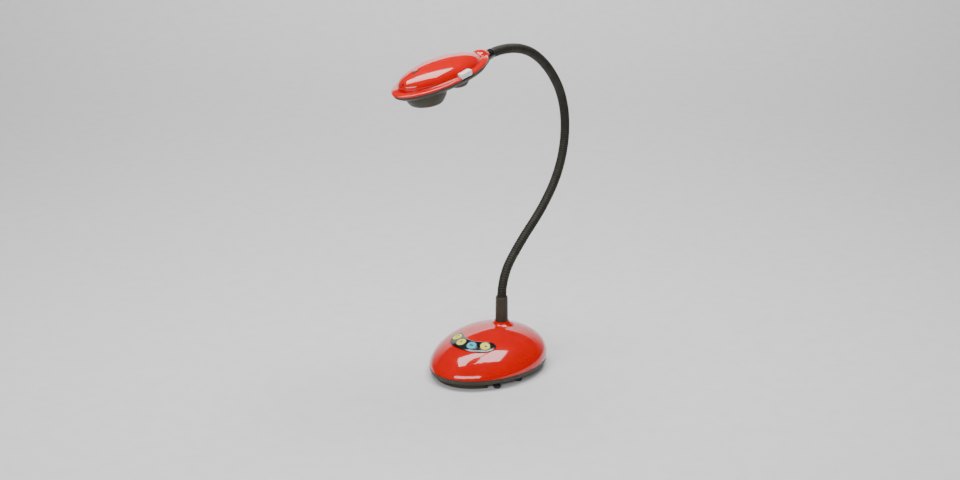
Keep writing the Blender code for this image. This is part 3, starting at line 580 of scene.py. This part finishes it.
# %% [markdown]
# ## Pan, front foot and rubber feet
# The dark pan closes the base from below. Its side drops straight from the rim and then tucks
# under. A deep crescent carries the front, and small rubber feet carry the sides and back.

# %% Pan, front foot and rubber feet
PAN_TOP = pan_high.z / MM
PAN_FLOOR = pan_low.z / MM


def inset_ring(inset, z):
    return (BASE_HALF_WIDTH - inset, BASE_HALF_LENGTH - inset, BASE_Y, z)


def pan_solid(name, side):
    return ring_stack(name, [inset_ring(*pair) for pair in side], 144, EGG_TAPER)


base_pan = pan_solid("pan_skin", [(12.0, PAN_FLOOR), (10.5, PAN_FLOOR), (8.2, 5.0), (6.0, 5.9),
                                  (4.2, 6.8), (2.6, 8.0), (1.5, 9.2), (0.8, 10.6), (0.2, 13.0),
                                  (0.15, PAN_TOP - 0.35), (0.5, PAN_TOP)])
combine(base_pan, pan_solid("tool", [(12.0, 6.7), (8.0, 7.6), (4.6, 10.4), (2.4, 13.0),
                                     (2.4, 20.0)]))
for index in range(1, 5):
    low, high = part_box(f"base_screw_{index}")
    middle = (low + high) / 2
    combine(base_pan, round_tool(1.9, 2.0, 9.0, Matrix.Translation((middle.x, middle.y, 0.0)), 24))
hand_over(base_pan, dark_plastic, "base", "dark_plastic", "base_pan")

PLINTH_END = math.radians(50.6)
PLINTH_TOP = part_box("front_foot")[1].z / MM
PLINTH_OUTER_INSET = 8.5
PLINTH_INNER_INSET = 21.0
PLINTH_THINNING = 6.0
PLINTH_NOSE = 0.015


def plinth_section(turn):
    """(share outwards, height) round the foot's cross-section, a rounded bar."""
    angle = turn * math.tau
    out, up = math.cos(angle), math.sin(angle)
    return (math.copysign(abs(out) ** 0.35, out) / 2 + 0.5,
            (math.copysign(abs(up) ** 0.45, up) / 2 + 0.5) * PLINTH_TOP)


only()
bpy.ops.mesh.primitive_grid_add(x_subdivisions=64, y_subdivisions=28, size=1.0)
plinth = bpy.context.object
plinth.name = "plinth_skin"
for vert in plinth.data.vertices:
    run = 2.0 * vert.co.x
    share, z = plinth_section(vert.co.y + 0.5)
    angle = PLINTH_END * run
    inner = PLINTH_INNER_INSET - PLINTH_THINNING * abs(run) ** 4
    ends = 1.0 - max(0.0, abs(run) - (1.0 - PLINTH_NOSE)) / PLINTH_NOSE * 0.35
    inset = inner + (PLINTH_OUTER_INSET - inner) * (0.5 + (share - 0.5) * ends)
    narrowing = 1.0 - EGG_TAPER * math.cos(angle)
    vert.co = Vector(((BASE_HALF_WIDTH - inset) * math.sin(angle) * narrowing,
                      BASE_Y - (BASE_HALF_LENGTH - inset) * math.cos(angle), z)) * MM
only(plinth)
bpy.ops.object.mode_set(mode="EDIT")
bpy.ops.mesh.select_all(action="SELECT")
bpy.ops.mesh.remove_doubles(threshold=0.00001)
bpy.ops.mesh.select_all(action="DESELECT")
bpy.ops.mesh.select_non_manifold()
bpy.ops.mesh.fill_holes(sides=0)
bpy.ops.mesh.select_all(action="SELECT")
bpy.ops.mesh.normals_make_consistent(inside=False)
bpy.ops.object.mode_set(mode="OBJECT")
hand_over(plinth, dark_plastic, "base", "dark_plastic", "front_foot")

FOOT_SIDE = [(4.0, 0.0), (4.5, 0.25), (4.9, 0.9), (5.5, 3.2), (5.6, 3.7), (5.2, 4.2)]
for index in range(1, 7):
    low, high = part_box(f"foot_{index}")
    middle = (low + high) / 2
    foot = turned(f"rubber_foot_{index}", FOOT_SIDE, 40)
    settle(foot, Matrix.Translation((middle.x, middle.y, 0.0)))
    hand_over(foot, foot_rubber, "base", "rubber_black", f"foot_{index}")

# %% [markdown]
# ## Keypad panel and keys
# The panel is the crescent sheet laid on the dome, a hair proud, with its rim rolled down. Round
# each key it rises in a black collar. A key is a shallow satin button with a dished top, and it
# carries a small printed sign: turn, zoom, freeze and capture. The signs are thin ink shapes set
# a little way into the cap's top, so that they stand just proud of it.

# %% Keypad panel and keys
panel = crescent_sheet("keypad_panel", 0.0,
                       lambda x, y, edge: dome_z(x, y) + 0.25 - 0.45 * edge ** 14, 128, 20)
thicken(panel, 1.0)
KEY_COLLAR = [(8.7, -0.4), (8.75, 0.5), (8.6, 0.9), (8.3, 1.15), (7.9, 1.1), (7.75, 0.8),
              (7.6, -0.2)]
for node in KEY_NODES:
    collar = turned("collar", KEY_COLLAR, 64)
    combine(panel, settle(collar, key_places[node]), "UNION")
    combine(panel, round_tool(7.55, -4.0, 5.0, key_places[node], 64))
hand_over(panel, panel_black, "base", "gloss_black", "keypad_bezel", sharp_deg=40.0)

KEY_CAP = [(6.4, -4.0), (8.3, -4.0), (8.3, -3.2), (7.2, -3.0), (7.2, 0.9), (7.05, 1.25),
           (6.7, 1.5), (6.2, 1.62), (5.4, 1.6), (3.0, 1.5), (1.0, 1.46), (0.0, 1.45)]
CAP_TOP = 1.5


def bar(name, x, y, width, height, turn=0.0):
    """A thin bar of ink on a key's top, in the key's own frame."""
    bpy.ops.mesh.primitive_cube_add(size=1.0, location=(x * MM, y * MM, (CAP_TOP + 0.07) * MM),
                                    rotation=(0.0, 0.0, turn),
                                    scale=(width * MM, height * MM, 0.2 * MM))
    obj = bpy.context.object
    obj.name = name
    return settle(obj)


def ring_mark(name, x, y, outer, inner):
    """A ring or, with no inner radius, a dot of ink."""
    disc = turned(name, [(outer, CAP_TOP - 0.03), (outer, CAP_TOP + 0.17)], 40)
    if inner:
        combine(disc, turned("tool", [(inner, 0.0), (inner, 4.0)], 40))
    return settle(disc, at(x, y))


SIGNS = {
    "key_1": lambda: [ring_mark("sign", 0.0, 0.0, 2.7, 2.1), bar("sign", 2.4, 1.6, 1.8, 0.7, 0.9),
                      bar("sign", 1.4, 2.6, 1.6, 0.7, -0.4)],
    "key_2": lambda: [ring_mark("sign", -0.6, 0.5, 2.2, 1.6),
                      bar("sign", 1.7, -1.6, 2.4, 0.7, -0.75), bar("sign", -0.6, 0.5, 2.0, 0.5)],
    "key_3": lambda: [bar("sign", -1.9, 0.0, 1.3, 4.2), bar("sign", 1.9, 0.0, 1.3, 4.2),
                      ring_mark("sign", 0.0, 0.0, 1.1, 0.0)],
    "key_4": lambda: [bar("sign", -0.6, 0.0, 3.8, 0.6), ring_mark("sign", 1.6, 0.0, 1.5, 0.0)],
}

for node in KEY_NODES:
    cap = settle(turned(f"{node}_cap", KEY_CAP, 64), key_places[node])
    cyan = node == "key_3"
    slot = "key_cyan" if cyan else "key_yellow"
    hand_over(cap, key_cyan if cyan else key_yellow, f"body_{node}", slot, node)
    marks = SIGNS[node]()
    only(*marks)
    bpy.ops.object.join()
    sign = bpy.context.object
    sign.name = f"{node}_sign"
    settle(sign, key_places[node])
    hand_over(sign, legend_ink, f"body_{node}", "gloss_black")

# %% [markdown]
# ## Flare and sleeve
# Where the neck leaves the base, the red shell rises in a flare, and a black sleeve with a light
# taper holds the foot of the neck. Both are turned. The flare's foot runs a little into the dome,
# so that no slit shows on the sloping surface.

# %% Flare and sleeve
FLARE_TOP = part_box("neck_collar")[1].z / MM
flare = turned("neck_flare", [(17.7, 54.0), (17.7, 57.2), (16.4, 58.1), (14.6, 59.0), (13.0, 60.0),
                              (11.9, 61.0), (11.2, 61.9), (10.8, FLARE_TOP - 0.4),
                              (10.4, FLARE_TOP - 0.05), (9.8, FLARE_TOP)], 96)
combine(flare, turned("tool", [(NECK_HOLE_RADIUS, 50.0), (NECK_HOLE_RADIUS, 80.0)], 64))
settle(flare, on_neck)
combine(flare, dome_solid("hollow", grow=-1.0, count=24, foot=10.0))
hand_over(flare, gloss_red, "base", "gloss_red", "neck_collar")

SLEEVE_TOP = neck_high.z / MM
sleeve = turned("sleeve_skin", [(9.2, 52.0), (9.2, 66.0), (9.15, 74.0), (8.75, SLEEVE_TOP - 4.0),
                                (8.6, SLEEVE_TOP - 1.2), (8.4, SLEEVE_TOP - 0.3),
                                (8.0, SLEEVE_TOP)], 64)
combine(sleeve, turned("tool", [(7.1, 40.0), (7.1, 120.0)], 48))
settle(sleeve, on_neck)
hand_over(sleeve, dark_plastic, "base", "dark_plastic", "neck_sleeve")

# %% [markdown]
# ## The neck's line
# The neck is a chain of arcs. Its joints lie where two arcs meet, so their packed places give the
# whole line: each arc leaves in the heading that the one before it reached, and the chord to the
# next joint fixes its bend. The last arc ends inside the head.

# %% The neck's line
hinges = [joint for joint in frame["joints"] if joint["name"].startswith("neck_")]
START = Vector((0.0, NECK_Y, 100.0))
LAST_BEND = math.radians(-20.0)
pivots = [START] + [Vector(joint["pos_m"]) / MM for joint in hinges]
headings, bends = [0.0], []
for here, there in zip(pivots, pivots[1:]):
    chord = there - here
    bend = 2.0 * (math.atan2(chord.y, chord.z) - headings[-1])
    bends.append(bend)
    headings.append(headings[-1] + bend)
bends.append(LAST_BEND)
ARC = (pivots[2] - pivots[1]).length * (bends[1] / 2) / math.sin(bends[1] / 2)


def neck_frame(length):
    """Matrix at a length in mm along the neck: +Z forward along it, +X across."""
    index = min(max(int(length // ARC), 0), len(bends) - 1)
    run = length - index * ARC
    bend = bends[index] * run / ARC if length > 0.0 else 0.0
    middle = headings[index] + bend / 2
    chord = run * (math.sin(bend / 2) / (bend / 2) if abs(bend) > 1e-9 else 1.0)
    place = pivots[index] + Vector((0.0, math.sin(middle), math.cos(middle))) * chord
    heading = headings[index] + bend
    along = Vector((0.0, math.sin(heading), math.cos(heading)))
    across = Vector((1.0, 0.0, 0.0))
    turn = Matrix((across, along.cross(across), along)).transposed().to_4x4()
    return Matrix.Translation(place) @ turn


NECK_LENGTH = ARC * len(bends)
end_frame = neck_frame(NECK_LENGTH)
print(f"neck {NECK_LENGTH:.0f} mm long, end at", [round(v, 1) for v in end_frame.translation])

# %% [markdown]
# ## Ribbed neck
# A gooseneck's skin is a helix of round ribs. One rib's outline, swept by the Screw modifier with
# an offset of one pitch a turn, makes the whole tube at once, straight and upright. The tube is
# then cut with bisect half-way between the joints, and each length is bent onto the neck's line.
# The first and last lengths ride on the base and the head, and each of the others stays where it
# is, with its place put into its mesh.

# %% Ribbed neck
NECK_RADIUS = 6.8
RIB_PITCH = 3.6
RIB_DEPTH = 0.75
TUBE_START, TUBE_END = -6.0, NECK_LENGTH - 4.0


def straight_tube():
    """The upright ribbed tube, from the first turn to the last."""
    points = 8
    turns = math.ceil((TUBE_END - TUBE_START) / RIB_PITCH) + 2
    mesh = bpy.data.meshes.new("neck_tube")
    outline = []
    for step in range(points + 1):
        share = step / points
        radius = NECK_RADIUS - RIB_DEPTH * (1.0 - abs(math.sin(math.pi * share)) ** 0.7)
        outline.append((radius * MM, 0.0, (TUBE_START + (share - 1.0) * RIB_PITCH) * MM))
    mesh.from_pydata(outline, [(i, i + 1) for i in range(points)], [])
    obj = bpy.data.objects.new("neck_tube", mesh)
    bpy.context.scene.collection.objects.link(obj)
    screw = obj.modifiers.new("wind", "SCREW")
    screw.angle = math.tau
    screw.screw_offset = RIB_PITCH * MM
    screw.iterations = turns
    screw.steps = screw.render_steps = 32
    screw.use_merge_vertices = True
    screw.merge_threshold = 0.00001
    only(obj)
    bpy.ops.object.modifier_apply(modifier="wind")
    return obj


def cut_above_or_below(obj, z, keep_above):
    """Bisects the upright tube at a height in mm and drops one side."""
    only(obj)
    bpy.ops.object.mode_set(mode="EDIT")
    bpy.ops.mesh.select_all(action="SELECT")
    bpy.ops.mesh.bisect(plane_co=(0.0, 0.0, z * MM), plane_no=(0.0, 0.0, 1.0),
                        clear_inner=keep_above, clear_outer=not keep_above)
    bpy.ops.object.mode_set(mode="OBJECT")


def neck_length(tube, name, low, high):
    """One length of the tube, bent onto the neck's line, with its rib attribute."""
    obj = bpy.data.objects.new(name, tube.data.copy())
    bpy.context.scene.collection.objects.link(obj)
    cut_above_or_below(obj, low, True)
    cut_above_or_below(obj, high, False)
    rib = obj.data.attributes.new("rib", "FLOAT", "POINT")
    for vert in obj.data.vertices:
        flat = Vector((vert.co.x, vert.co.y, 0.0)) / MM
        crest = (flat.length - NECK_RADIUS + RIB_DEPTH) / RIB_DEPTH
        rib.data[vert.index].value = min(max(crest, 0.0), 1.0)
        vert.co = neck_frame(vert.co.z / MM) @ flat * MM
    return obj


tube = straight_tube()
middles = [ARC * (index + 0.5) for index in range(len(bends))]
limits = [TUBE_START] + middles + [TUBE_END]
for index, (low, high) in enumerate(zip(limits, limits[1:])):
    length = neck_length(tube, f"neck_length_{index}", low, high)
    close_up(length)
    nodes = [f"neck_link_{index}"] if index < len(bends) else []
    inner = 0 < index < len(bends)
    body = None if inner else ("base" if index == 0 else "head")
    hand_over(length, neck_black, body, "neck_black", *nodes, sharp_deg=75.0)
    if inner:
        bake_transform(length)
bpy.data.objects.remove(tube, do_unlink=True)

# %% [markdown]
# ## The head's frame
# The head is modelled level and then put on the end of the neck, nose down by the angle that the
# neck's last heading gives. In its own frame the nose points to -Y and the split between the red
# shell and the dark cover lies just under z = 0.

# %% The head's frame
NECK_INSERT_Y = 96.4
COLLAR_Z = -6.6
head_pitch = -(headings[-1] + LAST_BEND) - math.pi / 2
pitch = Matrix.Rotation(head_pitch, 4, "X")
head_origin = end_frame.translation - pitch @ Vector((0.0, NECK_INSERT_Y, COLLAR_Z))
head_matrix = Matrix.Translation(head_origin * MM) @ pitch
along_collar = at(0.0, 0.0, COLLAR_Z) @ Matrix.Rotation(-math.pi / 2, 4, "X")
print("head at", [round(v, 1) for v in head_origin], "pitch", round(math.degrees(head_pitch), 1))

# %% [markdown]
# ## Red head shell
# The shell is a long oval dome over a lip that is wide at the nose and narrow at the sides. It is
# stacked from rings. The collar that grips the neck is a turned form laid along the back. The two
# are joined, fused into one even skin and relaxed, which rounds the crease between them as the
# mould does. Away from that crease the skin is drawn back onto the two true forms, because the
# gloss would show every small wave. Then the inside is cut out, the collar is split in half, and
# the key's notch, the status window and the microphone's hole are opened.

# %% Red head shell
HEAD_HALF_LENGTH = 86.3
HEAD_HALF_WIDTH = 39.6
LIP_LENGTH, LIP_WIDTH, LIP_Z = 12.8, 6.4, 1.8
HEAD_DOME = 19.2
NOSE_SHIFT = 13.9
EDGE_Z = -2.4
COLLAR_SIDE = [(9.4, 58.0), (11.8, 67.0), (13.4, 73.0), (13.6, 78.0), (12.6, 84.0),
               (10.4, 89.0), (9.6, 91.0)]
LIP_STEPS = [(0.0, EDGE_Z), (0.0, -1.4), (0.0, -0.6), (0.03, 0.1), (0.15, 0.5), (0.45, 0.8),
             (0.75, 1.1)]


def head_rings(inset=0.0, count=26):
    """Rings of the head's top, from the split line over the lip to the top."""
    rings = []
    for share, z in LIP_STEPS:
        rings.append((HEAD_HALF_WIDTH - LIP_WIDTH * share - inset,
                      HEAD_HALF_LENGTH - LIP_LENGTH * share - inset, 0.0, z - inset))
    for step in range(count + 1):
        angle = step / count * math.pi / 2
        scale = math.cos(angle) if step < count else 0.0
        lift = math.sin(angle)
        rings.append(((HEAD_HALF_WIDTH - LIP_WIDTH - inset) * scale,
                      (HEAD_HALF_LENGTH - LIP_LENGTH - inset) * scale, -NOSE_SHIFT * lift,
                      LIP_Z + HEAD_DOME * lift - inset))
    return rings


def collar_solid(thinner=0.0, shorter=0.0):
    side = [(radius - thinner, y - shorter * (y > 90.0)) for radius, y in COLLAR_SIDE]
    return settle(turned("collar", side, 64), along_collar)


def neck_bore():
    return settle(turned("tool", [(7.8, 50.0), (7.8, 96.0)], 48), along_collar)


def key_notch():
    return block(38.0, SIDE_KEY_Y, SIDE_KEY_Z - 0.8, (20.0, 22.4, 10.6))


def split_half(z):
    """A block that takes away the collar's other half, with its middle at this height."""
    return block(0.0, 80.0, z, (60.0, 60.0, 30.0))


SIDE_KEY_Y, SIDE_KEY_Z, SIDE_KEY_X = 9.6, 1.7, 38.7
WINDOW_Y = -45.6
MIC_Z = 10.6
to_nose = at(0.0, 0.0, MIC_Z) @ Matrix.Rotation(math.pi / 2, 4, "X")
head_top = ring_stack("head_skin", head_rings(), 128)
combine(head_top, collar_solid(), "UNION")
soften(head_top, 0.8, 8)
draw_back(head_top, ring_stack("guide", head_rings(count=48), 256), collar_solid())
draw_back(head_top, collar_solid(), ring_stack("guide", head_rings(), 128), near=1.0, far=6.0)
combine(head_top, split_half(EDGE_Z - 15.0))
combine(head_top, ring_stack("tool", head_rings(inset=2.0), 96))
combine(head_top, neck_bore())
combine(head_top, key_notch())
combine(head_top, block(0.0, WINDOW_Y, 22.0, (3.8, 7.8, 16.0)))
combine(head_top, round_tool(1.5, 62.0, 80.0, to_nose, 24))
settle(head_top, head_matrix)
hand_over(head_top, gloss_red, "head", "gloss_red", "head_shell", sharp_deg=35.0)

# %% [markdown]
# ## Dark under cover
# The cover is a shallow bowl, deeper towards the back, with a wide cup round the lens and a small
# pod for the lamp. In the real moulding they flow into each other, so the three forms are fused
# and relaxed like the shell. The hollow, the two wells and the screw seats are cut afterwards.

# %% Dark under cover
LENS_Y, LENS_LOW = -33.0, -27.4
LAMP_Y = 31.0
COVER_TOP = EDGE_Z - 0.3
LAMP_LOW = -27.2
BOWL_BACK_DEPTH = 0.75
BOWL = [(0.8, 0.0), (1.0, 0.9), (1.6, 1.9), (3.0, 3.5), (5.0, 4.9), (8.0, 6.2), (11.0, 7.1),
        (15.0, 7.9), (19.0, 8.5), (28.0, 9.3)]
COVER_WALL = 2.2
at_lens = at(0.0, LENS_Y)
at_lamp = at(0.0, LAMP_Y)


def bowl(name, inward=0.0, top=COVER_TOP):
    """The bowl as a solid. Its depth grows from the nose to the back."""
    rings = [(HEAD_HALF_WIDTH - inset - inward, HEAD_HALF_LENGTH - inset - inward, 0.0,
              COVER_TOP - depth + inward) for inset, depth in BOWL]
    rings[0] = (*rings[0][:3], top)
    obj = ring_stack(name, rings, 112)
    for vert in obj.data.vertices:
        back = vert.co.y / (HEAD_HALF_LENGTH * MM) / 2 + 0.5
        sunk = vert.co.z - (COVER_TOP + inward) * MM
        if sunk < 0.0:
            vert.co.z += sunk * BOWL_BACK_DEPTH * min(max(back, 0.0), 1.0)
    return obj


def lens_cup(inward=0.0, top=COVER_TOP - 1.0):
    low = LENS_LOW + inward
    side = [(22.6, low), (23.6, low + 1.2), (25.2, low + 4.0), (27.6, low + 8.5),
            (29.2, -14.0 + inward), (30.2, -9.0 + inward), (30.5, top)]
    return settle(turned("cup", [(radius - inward, z) for radius, z in side], 96), at_lens)


def lamp_pod(inward=0.0, top=COVER_TOP - 1.0):
    low = LAMP_LOW + inward
    side = [(11.2, low), (12.6, low + 1.2), (14.6, low + 4.0), (17.4, -15.0 + inward),
            (18.6, top)]
    return settle(turned("pod", [(radius - inward, z) for radius, z in side], 72), at_lamp)


under = bowl("cover_skin")
combine(under, lens_cup(), "UNION")
combine(under, lamp_pod(), "UNION")
half_collar = collar_solid(0.8, 1.4)
combine(half_collar, split_half(COVER_TOP + 15.0))
combine(under, half_collar, "UNION")
soften(under, 0.8, 10)
combine(under, block(0.0, 0.0, COVER_TOP + 20.0, (120.0, 220.0, 40.0)))
combine(under, bowl("hollow", 2.0, 4.0))
combine(under, lens_cup(COVER_WALL, 2.0))
combine(under, lamp_pod(COVER_WALL, 2.0))
combine(under, neck_bore())
combine(under, key_notch())
combine(under, round_tool(17.0, LENS_LOW - 6.0, LENS_LOW + 8.0, at_lens, 96))
combine(under, round_tool(7.2, LAMP_LOW - 6.0, LAMP_LOW + 6.0, at_lamp, 48))
SCREW_SEATS = [(20.0, 52.0, -12.2), (-20.0, 52.0, -12.2), (0.0, -70.0, -9.6)]
for x, y, seat in SCREW_SEATS:
    combine(under, round_tool(3.0, -24.0, seat, at(x, y), 32))
settle(under, head_matrix)
hand_over(under, dark_plastic, "head", "dark_plastic", "head_under_cover", sharp_deg=35.0)

# %% [markdown]
# ## Lens, lamp and small parts of the head
# A polished ring frames the glass, and behind the glass sits the lens barrel, stepped like a real
# one with baffle rings. The lamp has a domed frosted lens. On the side is the long white key that
# switches the lamp, with soft corners. A smoked window shows the status light, and a black mesh
# plug fills the microphone's hole.

# %% Lens, lamp and small parts of the head
def head_turned(name, profile, place, material, slot, *nodes, around=72, bore=None):
    obj = turned(name, profile, around)
    if bore:
        combine(obj, turned("tool", bore, around))
    settle(obj, head_matrix @ place)
    return hand_over(obj, material, "head", slot, *nodes)


low = LENS_LOW
ring_side = [(16.6, low + 3.4), (16.6, low - 0.6), (16.2, low - 1.15), (15.6, low - 1.4),
             (14.8, low - 1.2), (13.4, low - 0.4)]
ring_bore = [(13.2, low - 3.0), (12.6, low + 0.6), (12.6, low + 6.0)]
head_turned("lens_ring", ring_side, at_lens, panel_black, "gloss_black", "lens_bezel",
            bore=ring_bore)
head_turned("front_glass", [(12.2, low + 2.4), (12.2, low + 1.2), (11.9, low + 0.9),
                            (6.0, low + 0.75), (0.0, low + 0.7)], at_lens, lens_glass,
            "clear_glass", "lens_glass")
barrel_side = [(11.0, -8.4), (11.0, -11.0), (10.6, -11.2), (10.6, -12.0), (11.0, -12.2),
               (11.0, -16.0), (9.0, -16.6), (9.0, low + 4.2), (8.6, low + 3.8)]
barrel_bore = [(6.6, low + 3.0), (6.6, low + 3.9), (6.0, low + 3.9), (5.8, low + 4.9),
               (5.2, low + 4.9), (5.0, low + 6.0), (4.2, low + 6.0), (4.0, low + 7.0)]
head_turned("barrel", barrel_side, at_lens, lens_black, "gloss_black", "lens_barrel",
            bore=barrel_bore)
front_element = turned("front_element", [(4.6, low + 7.6), (4.5, low + 6.9), (3.4, low + 6.3),
                                         (1.8, low + 5.95), (0.0, low + 5.85)], 48)
settle(front_element, head_matrix @ at_lens)
hand_over(front_element, lens_glass, "head", "clear_glass")
head_turned("lamp_front", [(6.8, LAMP_LOW + 2.0), (6.8, LAMP_LOW), (6.3, LAMP_LOW - 0.9),
                           (5.0, LAMP_LOW - 1.6), (3.6, LAMP_LOW - 2.1), (1.8, LAMP_LOW - 2.45),
                           (0.0, LAMP_LOW - 2.6)], at_lamp, lamp_glass, "clear_glass", "lamp_lens")


def soft_block(name, x, y, z, size, radius, segments=4):
    """A block with rolled edges, in the head's frame."""
    obj = block(x, y, z, size)
    obj.name = name
    only(obj)
    bpy.ops.object.mode_set(mode="EDIT")
    bpy.ops.mesh.select_all(action="SELECT")
    bpy.ops.mesh.bevel(offset=radius * MM, segments=segments, affect="EDGES")
    bpy.ops.object.mode_set(mode="OBJECT")
    return obj


side_key = soft_block("lamp_key_cap", SIDE_KEY_X - 4.7, SIDE_KEY_Y, SIDE_KEY_Z,
                      (9.4, 21.4, 7.8), 1.3, 5)
settle(side_key, head_matrix)
hand_over(side_key, key_white, "lamp_button", "key_white", "lamp_key", sharp_deg=50.0)
window = soft_block("status_cover", 0.0, WINDOW_Y, 19.2, (3.2, 7.2, 4.0), 0.6)
settle(window, head_matrix)
hand_over(window, status_window, "head", "grey_plastic", "status_light")
mic = turned("mic_plug", [(1.2, 66.5), (1.2, 72.0), (1.0, 72.3), (0.5, 72.4)], 24)
settle(mic, head_matrix @ to_nose)
hand_over(mic, lens_black, "head", "gloss_black", "microphone")

# %% [markdown]
# ## Ferrule
# A black ferrule covers the end of the neck where it enters the collar. It is turned, with a
# rounded mouth and a shallow groove.

# %% Ferrule
ferrule_side = [(7.5, 79.0), (7.5, 92.0), (7.7, 92.2), (7.7, 100.5), (7.55, 101.6),
                (7.3, 102.6), (7.0, 103.0)]
ferrule = turned("neck_ferrule", ferrule_side, 64)
combine(ferrule, turned("tool", [(7.0, 70.0), (6.85, 110.0)], 48))
settle(ferrule, head_matrix @ along_collar)
hand_over(ferrule, panel_black, "head", "gloss_black", "head_ferrule")

# %% [markdown]
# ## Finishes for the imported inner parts
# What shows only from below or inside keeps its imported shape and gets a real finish: plated
# screws, the ballast plate, the neck's socket and nut, the circuit boards and the switches.

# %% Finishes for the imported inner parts
INNER = {
    steel: ["ballast_plate", "neck_socket", "neck_nut", "usb_socket",
            *(f"base_screw_{index}" for index in range(1, 5)),
            *(f"head_screw_{index}" for index in range(1, 4))],
    circuit_board: ["main_board", "keypad_board", "sensor_board"],
    switch_plastic: [*(f"tact_switch_{index}" for index in range(1, 5)), "lamp_switch"],
    foot_rubber: ["cable_tail"],
    key_white: ["lamp_led"],
}
for material, names in INNER.items():
    for name in names:
        node = frame["nodes"][name]
        node.data.materials.clear()
        node.data.materials.append(material)
        print(name, "takes", material.name)

# %% [markdown]
# ## Floor and light
# The device stands on a pale floor that sweeps up into a backdrop, so no horizon shows. The light
# is soft studio light from three boxes. The one overhead lights the device, and its square
# reflection gives the glossy shells their shape. A long low one in front fills the shadows, and
# one behind has its back to the device and lights the backdrop only.

# %% Floor and light
SWEEP_WIDTH = 14.0
SWEEP_LENGTH = 7.6
SWEEP_FRONT = -3.2
SWEEP_FLAT = 5.0
SWEEP_CURVE = 1.8
SWEEP_RADIUS = 1.15


def studio_sweep():
    """A floor that curves up behind the device into a wall. Its sizes are in metres."""
    only()
    bpy.ops.mesh.primitive_grid_add(x_subdivisions=2, y_subdivisions=60, size=1.0)
    obj = bpy.context.object
    obj.name = "studio_floor"
    for vert in obj.data.vertices:
        run = (vert.co.y + 0.5) * SWEEP_LENGTH
        past = max(run - SWEEP_FLAT, 0.0)
        angle = min(past / SWEEP_CURVE, 1.0) * math.pi / 2
        forward = min(run, SWEEP_FLAT) + SWEEP_FRONT + SWEEP_RADIUS * math.sin(angle)
        rise = SWEEP_RADIUS * (1.0 - math.cos(angle)) + max(past - SWEEP_CURVE, 0.0)
        vert.co = Vector((vert.co.x * SWEEP_WIDTH, forward, rise))
    return obj


floor = studio_sweep()
floor.data.transform(Matrix.Rotation(CAMERA_AZIMUTH, 4, "Z"))
floor.data.materials.append(moulded("pale_paper", (0.77, 0.77, 0.775), (0.81, 0.81, 0.815),
                                    (0.75, 0.85), 400.0, 0.02, specular=0.2))
only(floor)
bpy.ops.object.shade_smooth()


def softbox(name, place, aim, width, height, power):
    light = bpy.data.lights.new(name, "AREA")
    light.shape = "RECTANGLE"
    light.size, light.size_y, light.energy = width, height, power
    obj = bpy.data.objects.new(name, light)
    bpy.context.scene.collection.objects.link(obj)
    obj.location = place
    turn = (Vector(aim) - Vector(place)).to_track_quat("-Z", "Y")
    obj.rotation_euler = turn.to_euler()
    if place[:2] == aim[:2]:
        obj.rotation_euler.z = CAMERA_AZIMUTH


softbox("box_top", (-0.10, 0.10, 1.85), (-0.10, 0.10, 0.0), 1.65, 0.80, 50.0)
softbox("box_front", (1.0, -2.1, 1.35), (0.0, 0.0, 0.2), 2.6, 0.6, 48.0)
softbox("box_backdrop", (-1.3, 1.5, 2.4), (-3.2, 3.6, 0.6), 2.6, 0.9, 64.0)
world = bpy.data.worlds.new("studio")
bpy.context.scene.world = world
world.use_nodes = True
world.node_tree.nodes["Background"].inputs["Color"].default_value = (0.80, 0.80, 0.82, 1.0)
world.node_tree.nodes["Background"].inputs["Strength"].default_value = 0.07
print("studio ready")
